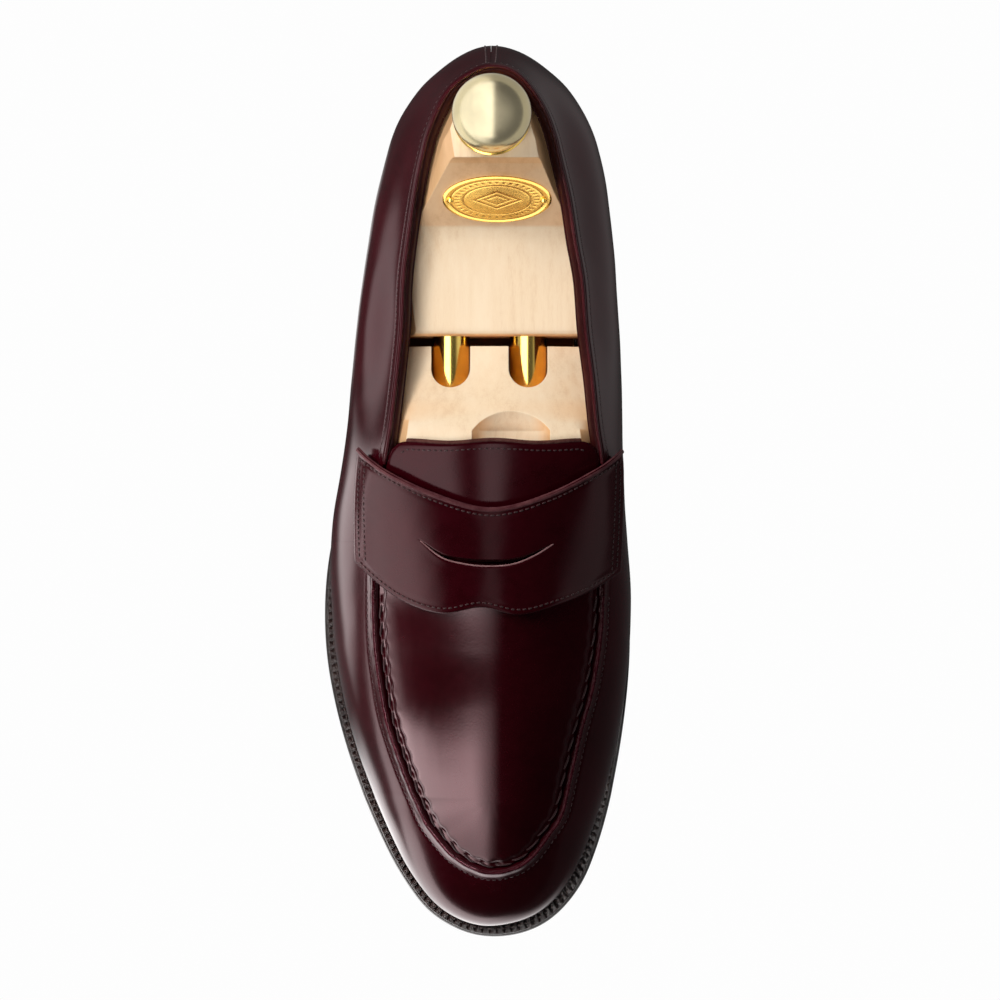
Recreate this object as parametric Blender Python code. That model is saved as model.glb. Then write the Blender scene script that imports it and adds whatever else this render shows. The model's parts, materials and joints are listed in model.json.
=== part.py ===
"""Penny loafer (right foot) on its leather sole and heel, with a twin-tube sprung shoe tree inside.

Design units are millimetres: +X medial, +Y towards the heel, +Z up, ground at z = 0.

Most pieces are placed by a loop coordinate u, which runs from the toe tip down the lateral
side, round the heel and back up the medial side. Every u has a ray leaving the long axis:
square to it along the sides, fanning out from one point at the toe and one at the heel.
"""
import bpy
import bmesh
import math
import numpy as np

MM = 0.001
SHIFT = (7.803, -0.909, 0.0)        # moves the finished design in the scene
UP = np.array([0.0, 0.0, 1.0])

# ---------------------------------------------------------------- main dimensions
AXIS_X = -3.0                       # long axis of the last
Y_TOE, Y_HEEL = -100.0, 118.0       # fan centres on the axis
R_TOE, R_HEEL = 40.0, 32.0          # radii that turn fan angle into loop length

# Layers of the upper, as depths below its outer surface
LEATHER = (0.0, 1.5)
STIFFENER = (1.8, 2.8)
LINING = (3.1, 4.0)
TREE_DEPTH = 5.4
EDGE_GAP = 0.5                      # inset of the apron from the rail, under the piping

# Sole, as heights above its underside
OUTSOLE_T, WELT_T = 5.0, 2.4
LAYER_GAP = 0.3
WELT_Z0 = OUTSOLE_T + LAYER_GAP
WELT_Z1 = WELT_Z0 + WELT_T
FEATHER_LIFT = 3.0                  # feather line above the outsole
HEEL_H = 20.5
BALL_FRONT, BALL_REAR, BREAST = -78.0, -30.0, 73.0
TOE_SPRING, SPRING_POWER = 11.0, 1.7

# Closed outlines (x, y): from the toe tip by lateral side, heel and medial side.
SOLE_EDGE = [
    (-2.8,-150.8), (-12.5,-149.1), (-22.2,-143.9), (-27.7,-138.7), (-35,-128.3), (-40.6,-117.9),
    (-47.5,-102.3), (-53,-86.7), (-57.2,-71.1), (-60,-55.5), (-60.9,-40), (-60,-24), (-57,-8),
    (-52.5,8), (-47.5,25), (-43.5,42), (-40.8,58), (-39.5,75), (-38.6,90), (-36.6,105), (-33,119),
    (-27.5,132), (-18.5,143), (-8.5,148.6), (-2,149.6), (5,149), (14,144.6), (22,136),
    (27.5,124.5), (31,109), (32.5,92), (33,76), (32,60), (31.2,45), (31.8,30), (34.6,12),
    (38.5,-5), (42.2,-21), (44.6,-36), (45.2,-48), (44.6,-62), (43,-77), (40.6,-92), (37.4,-107),
    (33.2,-121), (27.7,-133.5), (18.7,-143.9), (8.7,-149.2)]
FEATHER_LINE = [
    (-2.8,-144.8), (-11.5,-143.4), (-20,-138.6), (-26,-132), (-31.5,-124), (-37.5,-112),
    (-42.6,-100), (-47.8,-86), (-51.8,-71), (-54.6,-56), (-55.4,-45), (-55.2,-32), (-53.8,-18),
    (-51,-4), (-47.8,10), (-45,24), (-42.6,38), (-40.4,52), (-38.8,66), (-37.6,80), (-36.4,94),
    (-34.2,107), (-31,119), (-26,130), (-18,140.2), (-8.5,145.9), (-1.8,147), (5,146),
    (13.5,141.2), (20.5,132.5), (25.5,121.5), (28.6,109), (30.2,95), (31,80), (31,66), (30.5,52),
    (30.4,38), (31.2,24), (33,10), (36,-5), (39.2,-20), (41.9,-34), (42.6,-46), (42.2,-58),
    (41,-70), (38.9,-83), (36,-96), (32.4,-108), (28,-120), (23,-130), (15.5,-138.5), (6.5,-143.7)]
WIDEST_LINE = [
    (-2.8,-145.8), (-12,-144.3), (-20.9,-139.4), (-27,-132.6), (-32.5,-124.4), (-38.6,-112.2),
    (-43.8,-100), (-49.1,-86), (-53.2,-71), (-56.1,-56), (-57.3,-45), (-58,-32), (-58.1,-22),
    (-57.6,-13.5), (-56.5,-3.4), (-54.5,6.8), (-52.8,16.9), (-51.4,27.1), (-50.5,37.2),
    (-49,52.4), (-47.3,67.6), (-45,82.9), (-42.6,98.1), (-40.2,108.2), (-37.5,118.4),
    (-33.5,128.5), (-26.4,138.7), (-21.3,143.2), (-15.2,148), (-8,151.6), (-2.2,152.6), (5,151),
    (11.2,147.9), (17.9,142.8), (23,138), (29.1,128.5), (33.1,118.4), (35.5,108.2), (36.9,98.1),
    (38.6,83), (39.6,67.6), (40.6,52.4), (41.2,37), (41.4,27), (41.6,16.9), (42,6.8), (42.5,-3.4),
    (43.4,-13.5), (44.4,-23.7), (45,-34), (44.8,-45), (44.1,-56), (42.9,-67), (41,-79),
    (38.2,-92), (34.8,-104), (30.6,-116), (25.6,-127), (19,-136.5), (10,-143)]
# Top rail (x, y, z), where the wall meets the crown or the opening; same direction.
TOP_RAIL = [
    (-2.7,-125,45.5), (-5.4,-124.8,45.5), (-11.5,-122.1,45.6), (-16.5,-118.4,45.8),
    (-20.2,-114,46), (-24.3,-108.6,46), (-27.3,-101.8,46), (-30.7,-94.4,46), (-35.1,-81.9,46.2),
    (-37.8,-72.8,46.5), (-39.8,-60.7,47.2), (-41.4,-47.1,48.8), (-41.7,-28.2,53), (-40.8,0,65),
    (-37.6,17.8,73), (-35.4,34.4,71.5), (-33.1,56.3,70), (-32.4,73.2,70.5), (-30.7,87,72.5),
    (-28.7,100.3,75.5), (-27,109.3,78), (-24.3,119.6,81), (-21.3,126.9,83.5), (-16,135.5,86),
    (-6.5,141.6,87.6), (-1.3,142.2,88), (4.2,140.9,87.8), (9.5,136.3,86.5), (15.1,127.8,84),
    (18.4,118.9,81.5), (21.1,108.2,79), (23.4,98.5,77), (25.4,85.1,75), (27.7,73,74),
    (28.9,56.2,73.5), (31,40,74), (32.6,23.4,74.5), (34.4,12.6,72.5), (34.8,0,66), (34.2,-20,57),
    (33.6,-34.6,51.5), (33,-47.1,49), (30.3,-64,47), (27,-75.9,46.4), (23.6,-90.4,46),
    (21.2,-101.2,46), (19.6,-106.9,46), (15.8,-112.3,46), (11.8,-118,45.8), (8.1,-121.7,45.6),
    (5.1,-123.4,45.5), (0.3,-124.8,45.5)]
# Lengthwise tables: (y, value)
CREST_Z = [
    (-126,45.3), (-120,50.0), (-110,54.1), (-100,56.9), (-85,60.0), (-70,62.4), (-50,64.9),
    (-30,68.4), (-10,73.8), (5,78.4), (20,82), (32,84)]
WIDEST_Z = [
    (-152,27), (-135,24), (-120,21.5), (-90,18.5), (-60,18), (-40,20), (-20,26), (0,34), (20,40),
    (50,44), (100,46), (153,50)]
RAIL_ANGLE = [                      # degrees from horizontal at which the wall reaches the rail
    (-152,36), (-120,38), (-60,40), (-30,44), (0,54), (20,64), (60,68), (120,72), (153,76)]

# Wall section: v = 0 at the feather line, WIDEST_V at the widest line, 1 at the rail.
WIDEST_V = 0.35
MIN_WIDEST_RISE = 6.0               # least height of the widest line above the feather line
# Bezier handles as fractions of their span
FEATHER_OUT, FEATHER_RISE, WIDEST_FALL = 0.55, 0.25, 0.5
WIDEST_RISE, RAIL_REACH = 0.42, 0.36
CROWN_POWER = 2.2                   # how flat the crown stays before it falls to the rail

# Guide tubes and knob of the tree
GUIDE_Z, GUIDE_XS = 48.0, (-16.5, 9.4)
KNOB_X, KNOB_Y = -2.7, 125.3


# ---------------------------------------------------------------- curves and loop coordinate
def unit(vectors):
    return vectors / np.linalg.norm(vectors, axis=-1, keepdims=True)


def spline(table, x):
    """Smooth one-dimensional interpolation (Catmull-Rom slopes)."""
    xs, ys = np.array(table, float).T
    slope = np.gradient(ys, xs)
    x = np.clip(np.asarray(x, float), xs[0], xs[-1])
    i = np.clip(np.searchsorted(xs, x, side="right") - 1, 0, len(xs) - 2)
    h = xs[i + 1] - xs[i]
    s = (x - xs[i]) / h
    return ((2*s**3 - 3*s**2 + 1)*ys[i] + (s**3 - 2*s**2 + s)*h*slope[i]
            + (-2*s**3 + 3*s**2)*ys[i + 1] + (s**3 - s**2)*h*slope[i + 1])


def bezier(t, p0, p1, p2, p3):
    return (1-t)**3*p0 + 3*t*(1-t)**2*p1 + 3*t*t*(1-t)*p2 + t**3*p3


# Loop coordinates where each stretch begins
LATERAL_START = R_TOE * math.pi / 2
HEEL_START = LATERAL_START + (Y_HEEL - Y_TOE)
MEDIAL_START = HEEL_START + R_HEEL * math.pi
TOE_RETURN = MEDIAL_START + (Y_HEEL - Y_TOE)
LOOP_LENGTH = TOE_RETURN + R_TOE * math.pi / 2
HEEL_MID = (HEEL_START + MEDIAL_START) / 2


def lateral_u(y):
    return LATERAL_START + (y - Y_TOE)


def medial_u(y):
    return MEDIAL_START + (Y_HEEL - y)


def ray(u):
    """Start of the ray on the axis (y) and its direction (x, y)."""
    u = np.mod(np.asarray(u, float), LOOP_LENGTH)
    lateral = (u >= LATERAL_START) & (u < HEEL_START)
    heel = (u >= HEEL_START) & (u < MEDIAL_START)
    medial = (u >= MEDIAL_START) & (u < TOE_RETURN)
    start_y = np.where(lateral, Y_TOE + (u - LATERAL_START),
                       np.where(medial, Y_HEEL - (u - MEDIAL_START),
                                np.where(heel, Y_HEEL, Y_TOE)))
    angle = np.select(
        [u < LATERAL_START, u >= TOE_RETURN, heel, lateral],
        [-np.pi/2 - u / R_TOE, -np.pi/2 + (LOOP_LENGTH - u) / R_TOE,
         np.pi - (u - HEEL_START) / R_HEEL, np.pi], 0.0)
    return start_y, np.cos(angle), np.sin(angle)


def at(u, r):
    """Plan position at distance r along the ray of u."""
    start_y, dir_x, dir_y = ray(u)
    return AXIS_X + dir_x * r, start_y + dir_y * r


def loop_coordinate(x, y):
    if y < Y_TOE:
        u = math.atan2(AXIS_X - x, Y_TOE - y) * R_TOE
        return u if u >= 0 else LOOP_LENGTH + u
    if y > Y_HEEL:
        return HEEL_START + math.atan2(y - Y_HEEL, AXIS_X - x) * R_HEEL
    return lateral_u(y) if x < AXIS_X else medial_u(y)


SPLINE_STEPS = 24                   # samples per outline segment
SMOOTH_REACH, SMOOTH_WIDTH = 9, 4.0


def loop_table(outline):
    """Closed Catmull-Rom outline as smoothed rows of (u, distance from the axis, height)."""
    points = np.array(outline, float)
    count = len(points)
    rows = []
    for i in range(count):
        p0, p1, p2, p3 = (points[(i + k) % count] for k in (-1, 0, 1, 2))
        for step in range(SPLINE_STEPS):
            t = step / SPLINE_STEPS
            q = 0.5 * ((2*p1) + (-p0 + p2)*t + (2*p0 - 5*p1 + 4*p2 - p3)*t*t
                       + (-p0 + 3*p1 - 3*p2 + p3)*t**3)
            u = loop_coordinate(q[0], q[1])
            start_y = float(ray(u)[0])
            height = q[2] if len(q) > 2 else 0.0
            rows.append((u, math.hypot(q[0] - AXIS_X, q[1] - start_y), height))
    samples = np.array(sorted(rows))
    turn = np.array([LOOP_LENGTH, 0, 0])
    samples = np.vstack([samples - turn, samples, samples + turn])
    grid = np.arange(0.0, LOOP_LENGTH, 1.0)
    offsets = range(-SMOOTH_REACH, SMOOTH_REACH + 1)
    weights = np.exp(-(np.array(offsets) / SMOOTH_WIDTH) ** 2)
    weights /= weights.sum()
    columns = [grid]
    for c in (1, 2):
        values = np.interp(grid, samples[:, 0], samples[:, c])
        columns.append(sum(w * np.roll(values, k) for w, k in zip(weights, offsets)))
    table = np.stack(columns, 1)
    return np.vstack([table[-4:] - turn, table, table[:4] + turn])


SOLE, FEATHER, WIDEST, RAIL = map(loop_table, (SOLE_EDGE, FEATHER_LINE, WIDEST_LINE, TOP_RAIL))


def dist(table, u):
    return np.interp(np.mod(u, LOOP_LENGTH), table[:, 0], table[:, 1])


def rail_height(u):
    return np.interp(np.mod(u, LOOP_LENGTH), RAIL[:, 0], RAIL[:, 2])


# ---------------------------------------------------------------- surfaces of the shoe
def z_bottom(y):
    """Underside of the outsole: flat tread, toe spring, shank rise, level heel seat."""
    y = np.asarray(y, float)
    spring_run = BALL_FRONT - SOLE_EDGE[0][1]
    toe = TOE_SPRING * np.clip((BALL_FRONT - y) / spring_run, 0, None) ** SPRING_POWER
    t = np.clip((y - BALL_REAR) / (BREAST - BALL_REAR), 0, 1)
    return toe + HEEL_H * t * t * (3 - 2 * t)


def ground(y):
    return np.zeros_like(y)


def z_feather(y):
    return z_bottom(y) + OUTSOLE_T + FEATHER_LIFT


def outer_wall(u, v):
    """Outer surface of the upper's wall."""
    u, v = np.broadcast_arrays(np.asarray(u, float), np.asarray(v, float))
    r_low, r_wide, r_rail = dist(FEATHER, u), dist(WIDEST, u), dist(RAIL, u)
    z_low, z_rail = z_feather(at(u, r_low)[1]), rail_height(u)
    z_wide = np.maximum(spline(WIDEST_Z, at(u, r_wide)[1]), z_low + MIN_WIDEST_RISE)
    out, rise = r_wide - r_low, z_wide - z_low
    s = np.clip(v / WIDEST_V, 0, 1)
    r_under = bezier(s, r_low, r_low + FEATHER_OUT*out, r_wide, r_wide)
    z_under = bezier(s, z_low, z_low + FEATHER_RISE*rise, z_wide - WIDEST_FALL*rise, z_wide)
    s = (v - WIDEST_V) / (1 - WIDEST_V)
    angle = np.radians(spline(RAIL_ANGLE, at(u, r_rail)[1]))
    reach = RAIL_REACH * np.hypot(r_rail - r_wide, z_rail - z_wide)
    r_over = bezier(s, r_wide, r_wide, r_rail + np.cos(angle)*reach, r_rail)
    z_over = bezier(s, z_wide, z_wide + WIDEST_RISE*(z_rail - z_wide),
                    z_rail - np.sin(angle)*reach, z_rail)
    low = v < WIDEST_V
    x, y = at(u, np.where(low, r_under, r_over))
    return np.stack([x, y, np.where(low, z_under, z_over)], -1)


def wall(u, v, depth=0.0):
    """Wall surface pushed inwards by depth."""
    u, v = np.broadcast_arrays(np.asarray(u, float), np.asarray(v, float))
    along = outer_wall(u + 0.6, v) - outer_wall(u - 0.6, v)
    upwards = outer_wall(u, v + 0.01) - outer_wall(u, v - 0.01)
    normal = unit(np.cross(upwards, along))
    _, dir_x, dir_y = ray(u)
    facing = np.sign(normal[..., 0]*dir_x + normal[..., 1]*dir_y)
    normal = normal * np.where(facing == 0, 1, facing)[..., None]
    return outer_wall(u, v) - normal * depth


def wall_frame(u, v=1.0):
    """Points on the wall and their outward normals."""
    points = wall(u, v)
    return points, unit(wall(u, v, -1.0) - points)


def rail_at(y):
    """Rail x on the lateral and medial side, then both heights, along the straight part."""
    lateral, medial = lateral_u(y), medial_u(y)
    return (AXIS_X - dist(RAIL, lateral), AXIS_X + dist(RAIL, medial),
            rail_height(lateral), rail_height(medial))


def crown_height(x, y):
    x, y = np.broadcast_arrays(np.asarray(x, float), np.asarray(y, float))
    # behind the toe centre: falls sideways from the crest to either rail
    side_y = np.maximum(y, Y_TOE)
    x_lateral, x_medial, z_lateral, z_medial = rail_at(side_y)
    lateral = x < AXIS_X
    share = np.abs(x - AXIS_X) / np.where(lateral, AXIS_X - x_lateral, x_medial - AXIS_X)
    crest = spline(CREST_Z, side_y)
    z_side = crest + (np.where(lateral, z_lateral, z_medial) - crest) * share ** CROWN_POWER
    # round the toe: falls along the rays from a sloping plane
    slope = float((spline(CREST_Z, Y_TOE + 1) - spline(CREST_Z, Y_TOE - 1)) / 2)
    centre_z = float(spline(CREST_Z, Y_TOE))
    dx, dy = x - AXIS_X, np.minimum(y - Y_TOE, -1e-6)
    u = np.arctan2(-dx, -dy) * R_TOE
    r_rail = dist(RAIL, u)
    r = np.hypot(dx, dy)
    rail_dy = dy / np.maximum(r, 1e-9) * r_rail
    drop = rail_height(u) - centre_z - slope * rail_dy
    z_toe = centre_z + slope * dy + drop * (r / r_rail) ** CROWN_POWER
    return np.where(y < Y_TOE, z_toe, z_side)


def crown(x, y, depth=0.0):
    """Crowned top surface pushed down along its normal by depth."""
    x, y = np.broadcast_arrays(np.asarray(x, float), np.asarray(y, float))
    e = 0.8
    slope_x = (crown_height(x + e, y) - crown_height(x - e, y)) / (2*e)
    slope_y = (crown_height(x, y + e) - crown_height(x, y - e)) / (2*e)
    normal = unit(np.stack([-slope_x, -slope_y, np.ones_like(slope_x)], -1))
    return np.stack([x, y, crown_height(x, y)], -1) - normal * depth


# ---------------------------------------------------------------- mesh helpers
def add(name, verts, faces):
    """One object from vertices in millimetres."""
    mesh = bpy.data.meshes.new(name)
    verts = (np.asarray(verts, float) + np.array(SHIFT)) * MM
    mesh.from_pydata([tuple(p) for p in verts], [], faces)
    bm = bmesh.new()
    bm.from_mesh(mesh)
    bmesh.ops.remove_doubles(bm, verts=bm.verts, dist=2e-6)
    bmesh.ops.dissolve_degenerate(bm, edges=bm.edges, dist=1e-6)
    bmesh.ops.triangulate(bm, faces=bm.faces)
    bmesh.ops.recalc_face_normals(bm, faces=bm.faces)
    if bm.calc_volume(signed=True) < 0:
        bmesh.ops.reverse_faces(bm, faces=bm.faces)
    bm.to_mesh(mesh)
    bm.free()
    obj = bpy.data.objects.new(name, mesh)
    bpy.context.scene.collection.objects.link(obj)
    return obj


def shell(name, outer, inner, skip=None):
    """Closed solid between two matching grids; skip(i, j) leaves a quad open.

    Coincident grid points are merged first, so rows may run together to a point.
    """
    rows, cols = outer.shape[:2]
    n = rows * cols
    verts = np.vstack([outer.reshape(-1, 3), inner.reshape(-1, 3)])
    first_at = {}
    merged = [first_at.setdefault(tuple(p), i) for i, p in enumerate(np.round(verts, 4))]
    faces, edges = [], {}
    for i in range(rows - 1):
        for j in range(cols - 1):
            if skip and skip(i, j):
                continue
            a, b = i * cols + j, (i + 1) * cols + j
            corners = [a, b, b + 1, a + 1]
            kept = {}
            for c in corners:
                kept.setdefault(merged[c], c)
            if len(kept) < 3:
                continue
            faces.append(list(kept))
            faces.append(list(dict.fromkeys(merged[c + n] for c in reversed(corners))))
            ring = list(kept.values())
            for start, end in zip(ring, ring[1:] + ring[:1]):
                key = tuple(sorted((merged[start], merged[end])))
                edges.setdefault(key, []).append((start, end))
    for uses in edges.values():
        if len(uses) == 1:          # open edge: close it with a rim face
            start, end = uses[0]
            rim = list(dict.fromkeys(merged[t] for t in (end, start, start + n, end + n)))
            if len(rim) >= 3:
                faces.append(rim)
    used = sorted({t for f in faces for t in f})
    index = {t: k for k, t in enumerate(used)}
    return add(name, verts[used], [[index[t] for t in f] for f in faces])


def plate(name, left, right, z0, z1):
    """Strip solid between two edge lines; z0 and z1 hold a height per line point and side."""
    edges = np.stack([left, right], 1)
    top, bottom = (np.concatenate([edges, z[..., None]], -1) for z in (z1, z0))
    return shell(name, top, bottom)


def loft(name, rings, closed=False, caps_first=False):
    """Solid through equal rings; caps_first puts the end faces ahead of the side faces."""
    rings = np.asarray(rings, float)
    count, sides = rings.shape[:2]
    walls = []
    for i in range(count if closed else count - 1):
        a, b = i * sides, (i + 1) % count * sides
        walls += [[a + j, a + (j + 1) % sides, b + (j + 1) % sides, b + j] for j in range(sides)]
    last = (count - 1) * sides
    caps = [] if closed else [list(range(sides))[::-1], list(range(last, last + sides))]
    return add(name, rings.reshape(-1, 3), caps + walls if caps_first else walls + caps)


def cord(name, path, up, width, height, closed=False, sides=4):
    """Thin cord lying on a path; up gives the local outward direction."""
    along = np.roll(path, -1, 0) - np.roll(path, 1, 0)
    if not closed:
        along[0], along[-1] = path[1] - path[0], path[-1] - path[-2]
    along = unit(along)
    across = unit(np.cross(along, up))
    out = np.cross(across, along)
    rings = []
    for k in range(sides):
        a = (k + 0.5) * 2 * math.pi / sides
        rings.append(path + across * math.cos(a) * width * 0.707
                     + out * (math.sin(a) * height * 0.707 + height / 2))
    return loft(name, np.stack(rings, 1), closed)


def lathe(name, profile, origin, axis="z", segments=24):
    """Revolved (radius, height) profile; it closes on itself unless an end has radius 0."""
    verts = []
    for r, h in profile:
        for k in range(segments):
            a = 2 * math.pi * (k + 0.5) / segments
            c, s = r * math.cos(a), r * math.sin(a)
            verts.append((c, s, h) if axis == "z" else (c, h, s))
    n = len(profile)
    faces = []
    for i in range(n if profile[0][0] > 0 and profile[-1][0] > 0 else n - 1):
        a, b = i * segments, (i + 1) % n * segments
        for k in range(segments):
            k2 = (k + 1) % segments
            faces.append([a + k, a + k2, b + k2, b + k])
    return add(name, np.array(verts) + np.array(origin), faces)


def cut(target, cutters):
    """Subtract the cutters in turn, then tidy the mesh."""
    for cutter in cutters:
        mod = target.modifiers.new("cut", "BOOLEAN")
        mod.operation, mod.object, mod.solver = "DIFFERENCE", cutter, "EXACT"
        depsgraph = bpy.context.evaluated_depsgraph_get()
        mesh = bpy.data.meshes.new_from_object(target.evaluated_get(depsgraph))
        target.modifiers.clear()
        old = target.data
        target.data = mesh
        bpy.data.meshes.remove(old)
        bpy.data.objects.remove(cutter, do_unlink=True)
    bm = bmesh.new()
    bm.from_mesh(target.data)
    bmesh.ops.remove_doubles(bm, verts=bm.verts, dist=5e-6)
    bmesh.ops.dissolve_limit(bm, angle_limit=math.radians(0.5), verts=bm.verts, edges=bm.edges)
    bmesh.ops.triangulate(bm, faces=bm.faces)
    bm.to_mesh(target.data)
    bm.free()


# ---------------------------------------------------------------- stations shared by every layer
TOE_STEPS, SIDE_STEPS, HEEL_STEPS = 8, 16, 7
MIN_STEP = 2.0                      # shared stations closer than this to an end are left out
HALF_LOOP = (
    [LATERAL_START * i / TOE_STEPS for i in range(TOE_STEPS)]
    + [LATERAL_START + (HEEL_START - LATERAL_START) * i / SIDE_STEPS for i in range(SIDE_STEPS)]
    + [HEEL_START + (MEDIAL_START - HEEL_START) / 2 * i / HEEL_STEPS
       for i in range(HEEL_STEPS + 1)])


def medial_partner(u):
    """The medial station opposite a lateral one."""
    if u <= LATERAL_START:
        return LOOP_LENGTH - u
    if u <= HEEL_START:
        return MEDIAL_START + (HEEL_START - u)
    return MEDIAL_START - (u - HEEL_START)


def stations(u0, u1):
    """Shared stations from u0 to u1 (u1 may pass the end of the loop)."""
    full = sorted(HALF_LOOP + [medial_partner(u) for u in HALF_LOOP[1:-1]])
    pool = full + [u + LOOP_LENGTH for u in full]
    return np.array([u0] + [u for u in pool if u0 + MIN_STEP < u < u1 - MIN_STEP] + [u1])


def round_toe(medial_y, lateral_y):
    return stations(medial_u(medial_y), LOOP_LENGTH + lateral_u(lateral_y))


def round_heel(y):
    return stations(lateral_u(y), medial_u(y))


def edge_pairs(y0, y1, table, inset):
    """Matching lateral and medial (x, y) lines from y0 to y1; None runs to the toe or heel tip."""
    us = list(HALF_LOOP)
    if y0 is not None:
        us = [lateral_u(y0)] + [u for u in us if u > lateral_u(y0) + MIN_STEP]
    if y1 is not None:
        us = [u for u in us if u < lateral_u(y1) - MIN_STEP] + [lateral_u(y1)]
    sides = np.array(us), np.array([medial_partner(u) for u in us])
    return [np.column_stack(at(side, dist(table, side) - inset)) for side in sides]


for old_object in list(bpy.data.objects):
    bpy.data.objects.remove(old_object, do_unlink=True)


# ---------------------------------------------------------------- shoe bottom
WELT_END = 70.0
SIDE_GAP = 0.4                      # gap between pieces that meet end to end
SHANK_X = (-8.5, 2.5)
SHANK_Y = (2, 122)
SHANK_STATIONS = 9
LIFT_T, LIFT_COUNT = 4.5, 3
LIFT_FRONT, LIFT_INSET, LIFT_STEP = 75.0, 0.5, 0.4   # each lower lift steps in
TOP_PIECE = dict(table=SOLE, inset=1.6, z0=0.0, z1=5.8, base=ground)


def sole_plate(name, y0, y1, table, inset, z0, z1, base=z_bottom):
    lateral, medial = edge_pairs(y0, y1, table, inset)
    base_z = np.column_stack([base(lateral[:, 1]), base(medial[:, 1])])
    plate(name, lateral, medial, base_z + z0, base_z + z1)


def welt_band(name, us, feather_inset, edge_inset):
    """Flat strip on the outsole from inside the feather line to the sole edge."""
    def line(r, lift):
        x, y = at(us, r)
        return np.stack([x, y, z_bottom(y) + lift], -1)
    radii = dist(FEATHER, us) - feather_inset, dist(SOLE, us) - edge_inset
    top, bottom = (np.stack([line(r, z) for r in radii], 1) for z in (WELT_Z1, WELT_Z0))
    shell(name, top, bottom)


def shank():
    ys = np.linspace(*SHANK_Y, SHANK_STATIONS)
    left, right = (np.column_stack([np.full(SHANK_STATIONS, x), ys]) for x in SHANK_X)
    base_z = np.column_stack([z_bottom(ys)] * 2)
    plate("shank", left, right, base_z + 5.4, base_z + 7.0)


def heel_lifts():
    for i in range(LIFT_COUNT):
        top = HEEL_H - LAYER_GAP - i * (LIFT_T + LAYER_GAP)
        sole_plate(f"heel_lift_{i + 1}", LIFT_FRONT + i * LIFT_STEP, None, SOLE,
                   LIFT_INSET + i * LIFT_STEP, top - LIFT_T, top, ground)


sole_plate("outsole", None, None, SOLE, 0.0, 0.0, OUTSOLE_T)
welt_band("welt", round_toe(WELT_END, WELT_END), 4.0, 0.4)
welt_band("heel_seat_rand", round_heel(WELT_END + SIDE_GAP), 7.0, 0.6)
sole_plate("cork_filler", -126.0, -4.0, FEATHER, 4.5, WELT_Z0, WELT_Z1)
shank()
sole_plate("insole", None, None, FEATHER, 5.2, 8.05, 11.0)
sole_plate("sock_lining", None, None, FEATHER, 5.8, 11.3, 12.1)
heel_lifts()
sole_plate("heel_top_piece", 76.2, 116.0, **TOP_PIECE)
sole_plate("heel_rubber_tip", 116.4, None, **TOP_PIECE)

# ---------------------------------------------------------------- upper walls
SIDE_SEAM = -14.0
LINING_SEAM = -30.0
THROAT = 18.0
V_TOP, V_LINING_TOP = 0.97, 0.955
MID_ROWS = [0.18, WIDEST_V, 0.55, 0.77]
PUFF_WRAP = 8                       # toe puff past the toe curve, each side
COUNTER_WRAP = 27.25                # heel counter past the heel curve, each side
GRIP_INSET = 14.0                   # heel grip ends inside the heel curve
BACK_HALF_GAP = 0.2

V_LEATHER, V_LINING = (0.0, V_TOP), (0.02, V_LINING_TOP)
# name, stations, (lowest v, highest v), depths
BANDS = [
    ("vamp", round_toe(SIDE_SEAM, SIDE_SEAM), V_LEATHER, LEATHER),
    ("quarter_lateral", stations(lateral_u(SIDE_SEAM + SIDE_GAP), HEEL_MID - BACK_HALF_GAP),
     V_LEATHER, LEATHER),
    ("quarter_medial", stations(HEEL_MID + BACK_HALF_GAP, medial_u(SIDE_SEAM + SIDE_GAP)),
     V_LEATHER, LEATHER),
    ("toe_puff", stations(TOE_RETURN - PUFF_WRAP, LOOP_LENGTH + LATERAL_START + PUFF_WRAP),
     (0.05, 0.9), STIFFENER),
    ("heel_counter", stations(HEEL_START - COUNTER_WRAP, MEDIAL_START + COUNTER_WRAP),
     (0.0, 0.86), STIFFENER),
    ("vamp_lining", round_toe(LINING_SEAM, LINING_SEAM), V_LINING, LINING),
    ("quarter_lining_lateral",
     stations(lateral_u(LINING_SEAM + 0.5), HEEL_START + GRIP_INSET - BACK_HALF_GAP),
     V_LINING, LINING),
    ("heel_grip", stations(HEEL_START + GRIP_INSET + BACK_HALF_GAP,
                           MEDIAL_START - GRIP_INSET - BACK_HALF_GAP), V_LINING, LINING),
    ("quarter_lining_medial",
     stations(MEDIAL_START - GRIP_INSET + BACK_HALF_GAP, medial_u(LINING_SEAM + 0.5)),
     V_LINING, LINING)]

for name, us, (v_low, v_high), depths in BANDS:
    rows = np.array([v_low, *MID_ROWS, v_high])
    shell(name, *(wall(us[:, None], rows[None, :], depth) for depth in depths))

# ---------------------------------------------------------------- crowned top
CROWN_COLUMNS = np.array([0, 0.12, 0.26, 0.42, 0.58, 0.74, 0.88, 1])  # lateral to medial rail
# name, front y (None for the toe tip), rear y, depths, inset from the rail
TOP_PATCHES = [
    ("apron", None, -12.3, LEATHER, EDGE_GAP),
    ("tongue", -11.9, THROAT + 1.0, LEATHER, EDGE_GAP + 0.5),
    ("apron_lining", None, LINING_SEAM, LINING, 1.6),
    ("tongue_lining", LINING_SEAM + SIDE_GAP, THROAT - 1.0, LINING, 1.8)]

for name, front, rear, depths, inset in TOP_PATCHES:
    lateral, medial = (line[::-1, None, :] for line in edge_pairs(front, rear, RAIL, inset))
    share = CROWN_COLUMNS[None, :, None]
    grid = lateral * (1 - share) + medial * share
    shell(name, *(crown(grid[..., 0], grid[..., 1], depth) for depth in depths))

# ---------------------------------------------------------------- piping and binding
PIPING_END_MEDIAL, PIPING_END_LATERAL = -35.5, -33.0
PIPING_OFFSET = 0.65
BINDING_LIFT = 1.45


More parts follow.
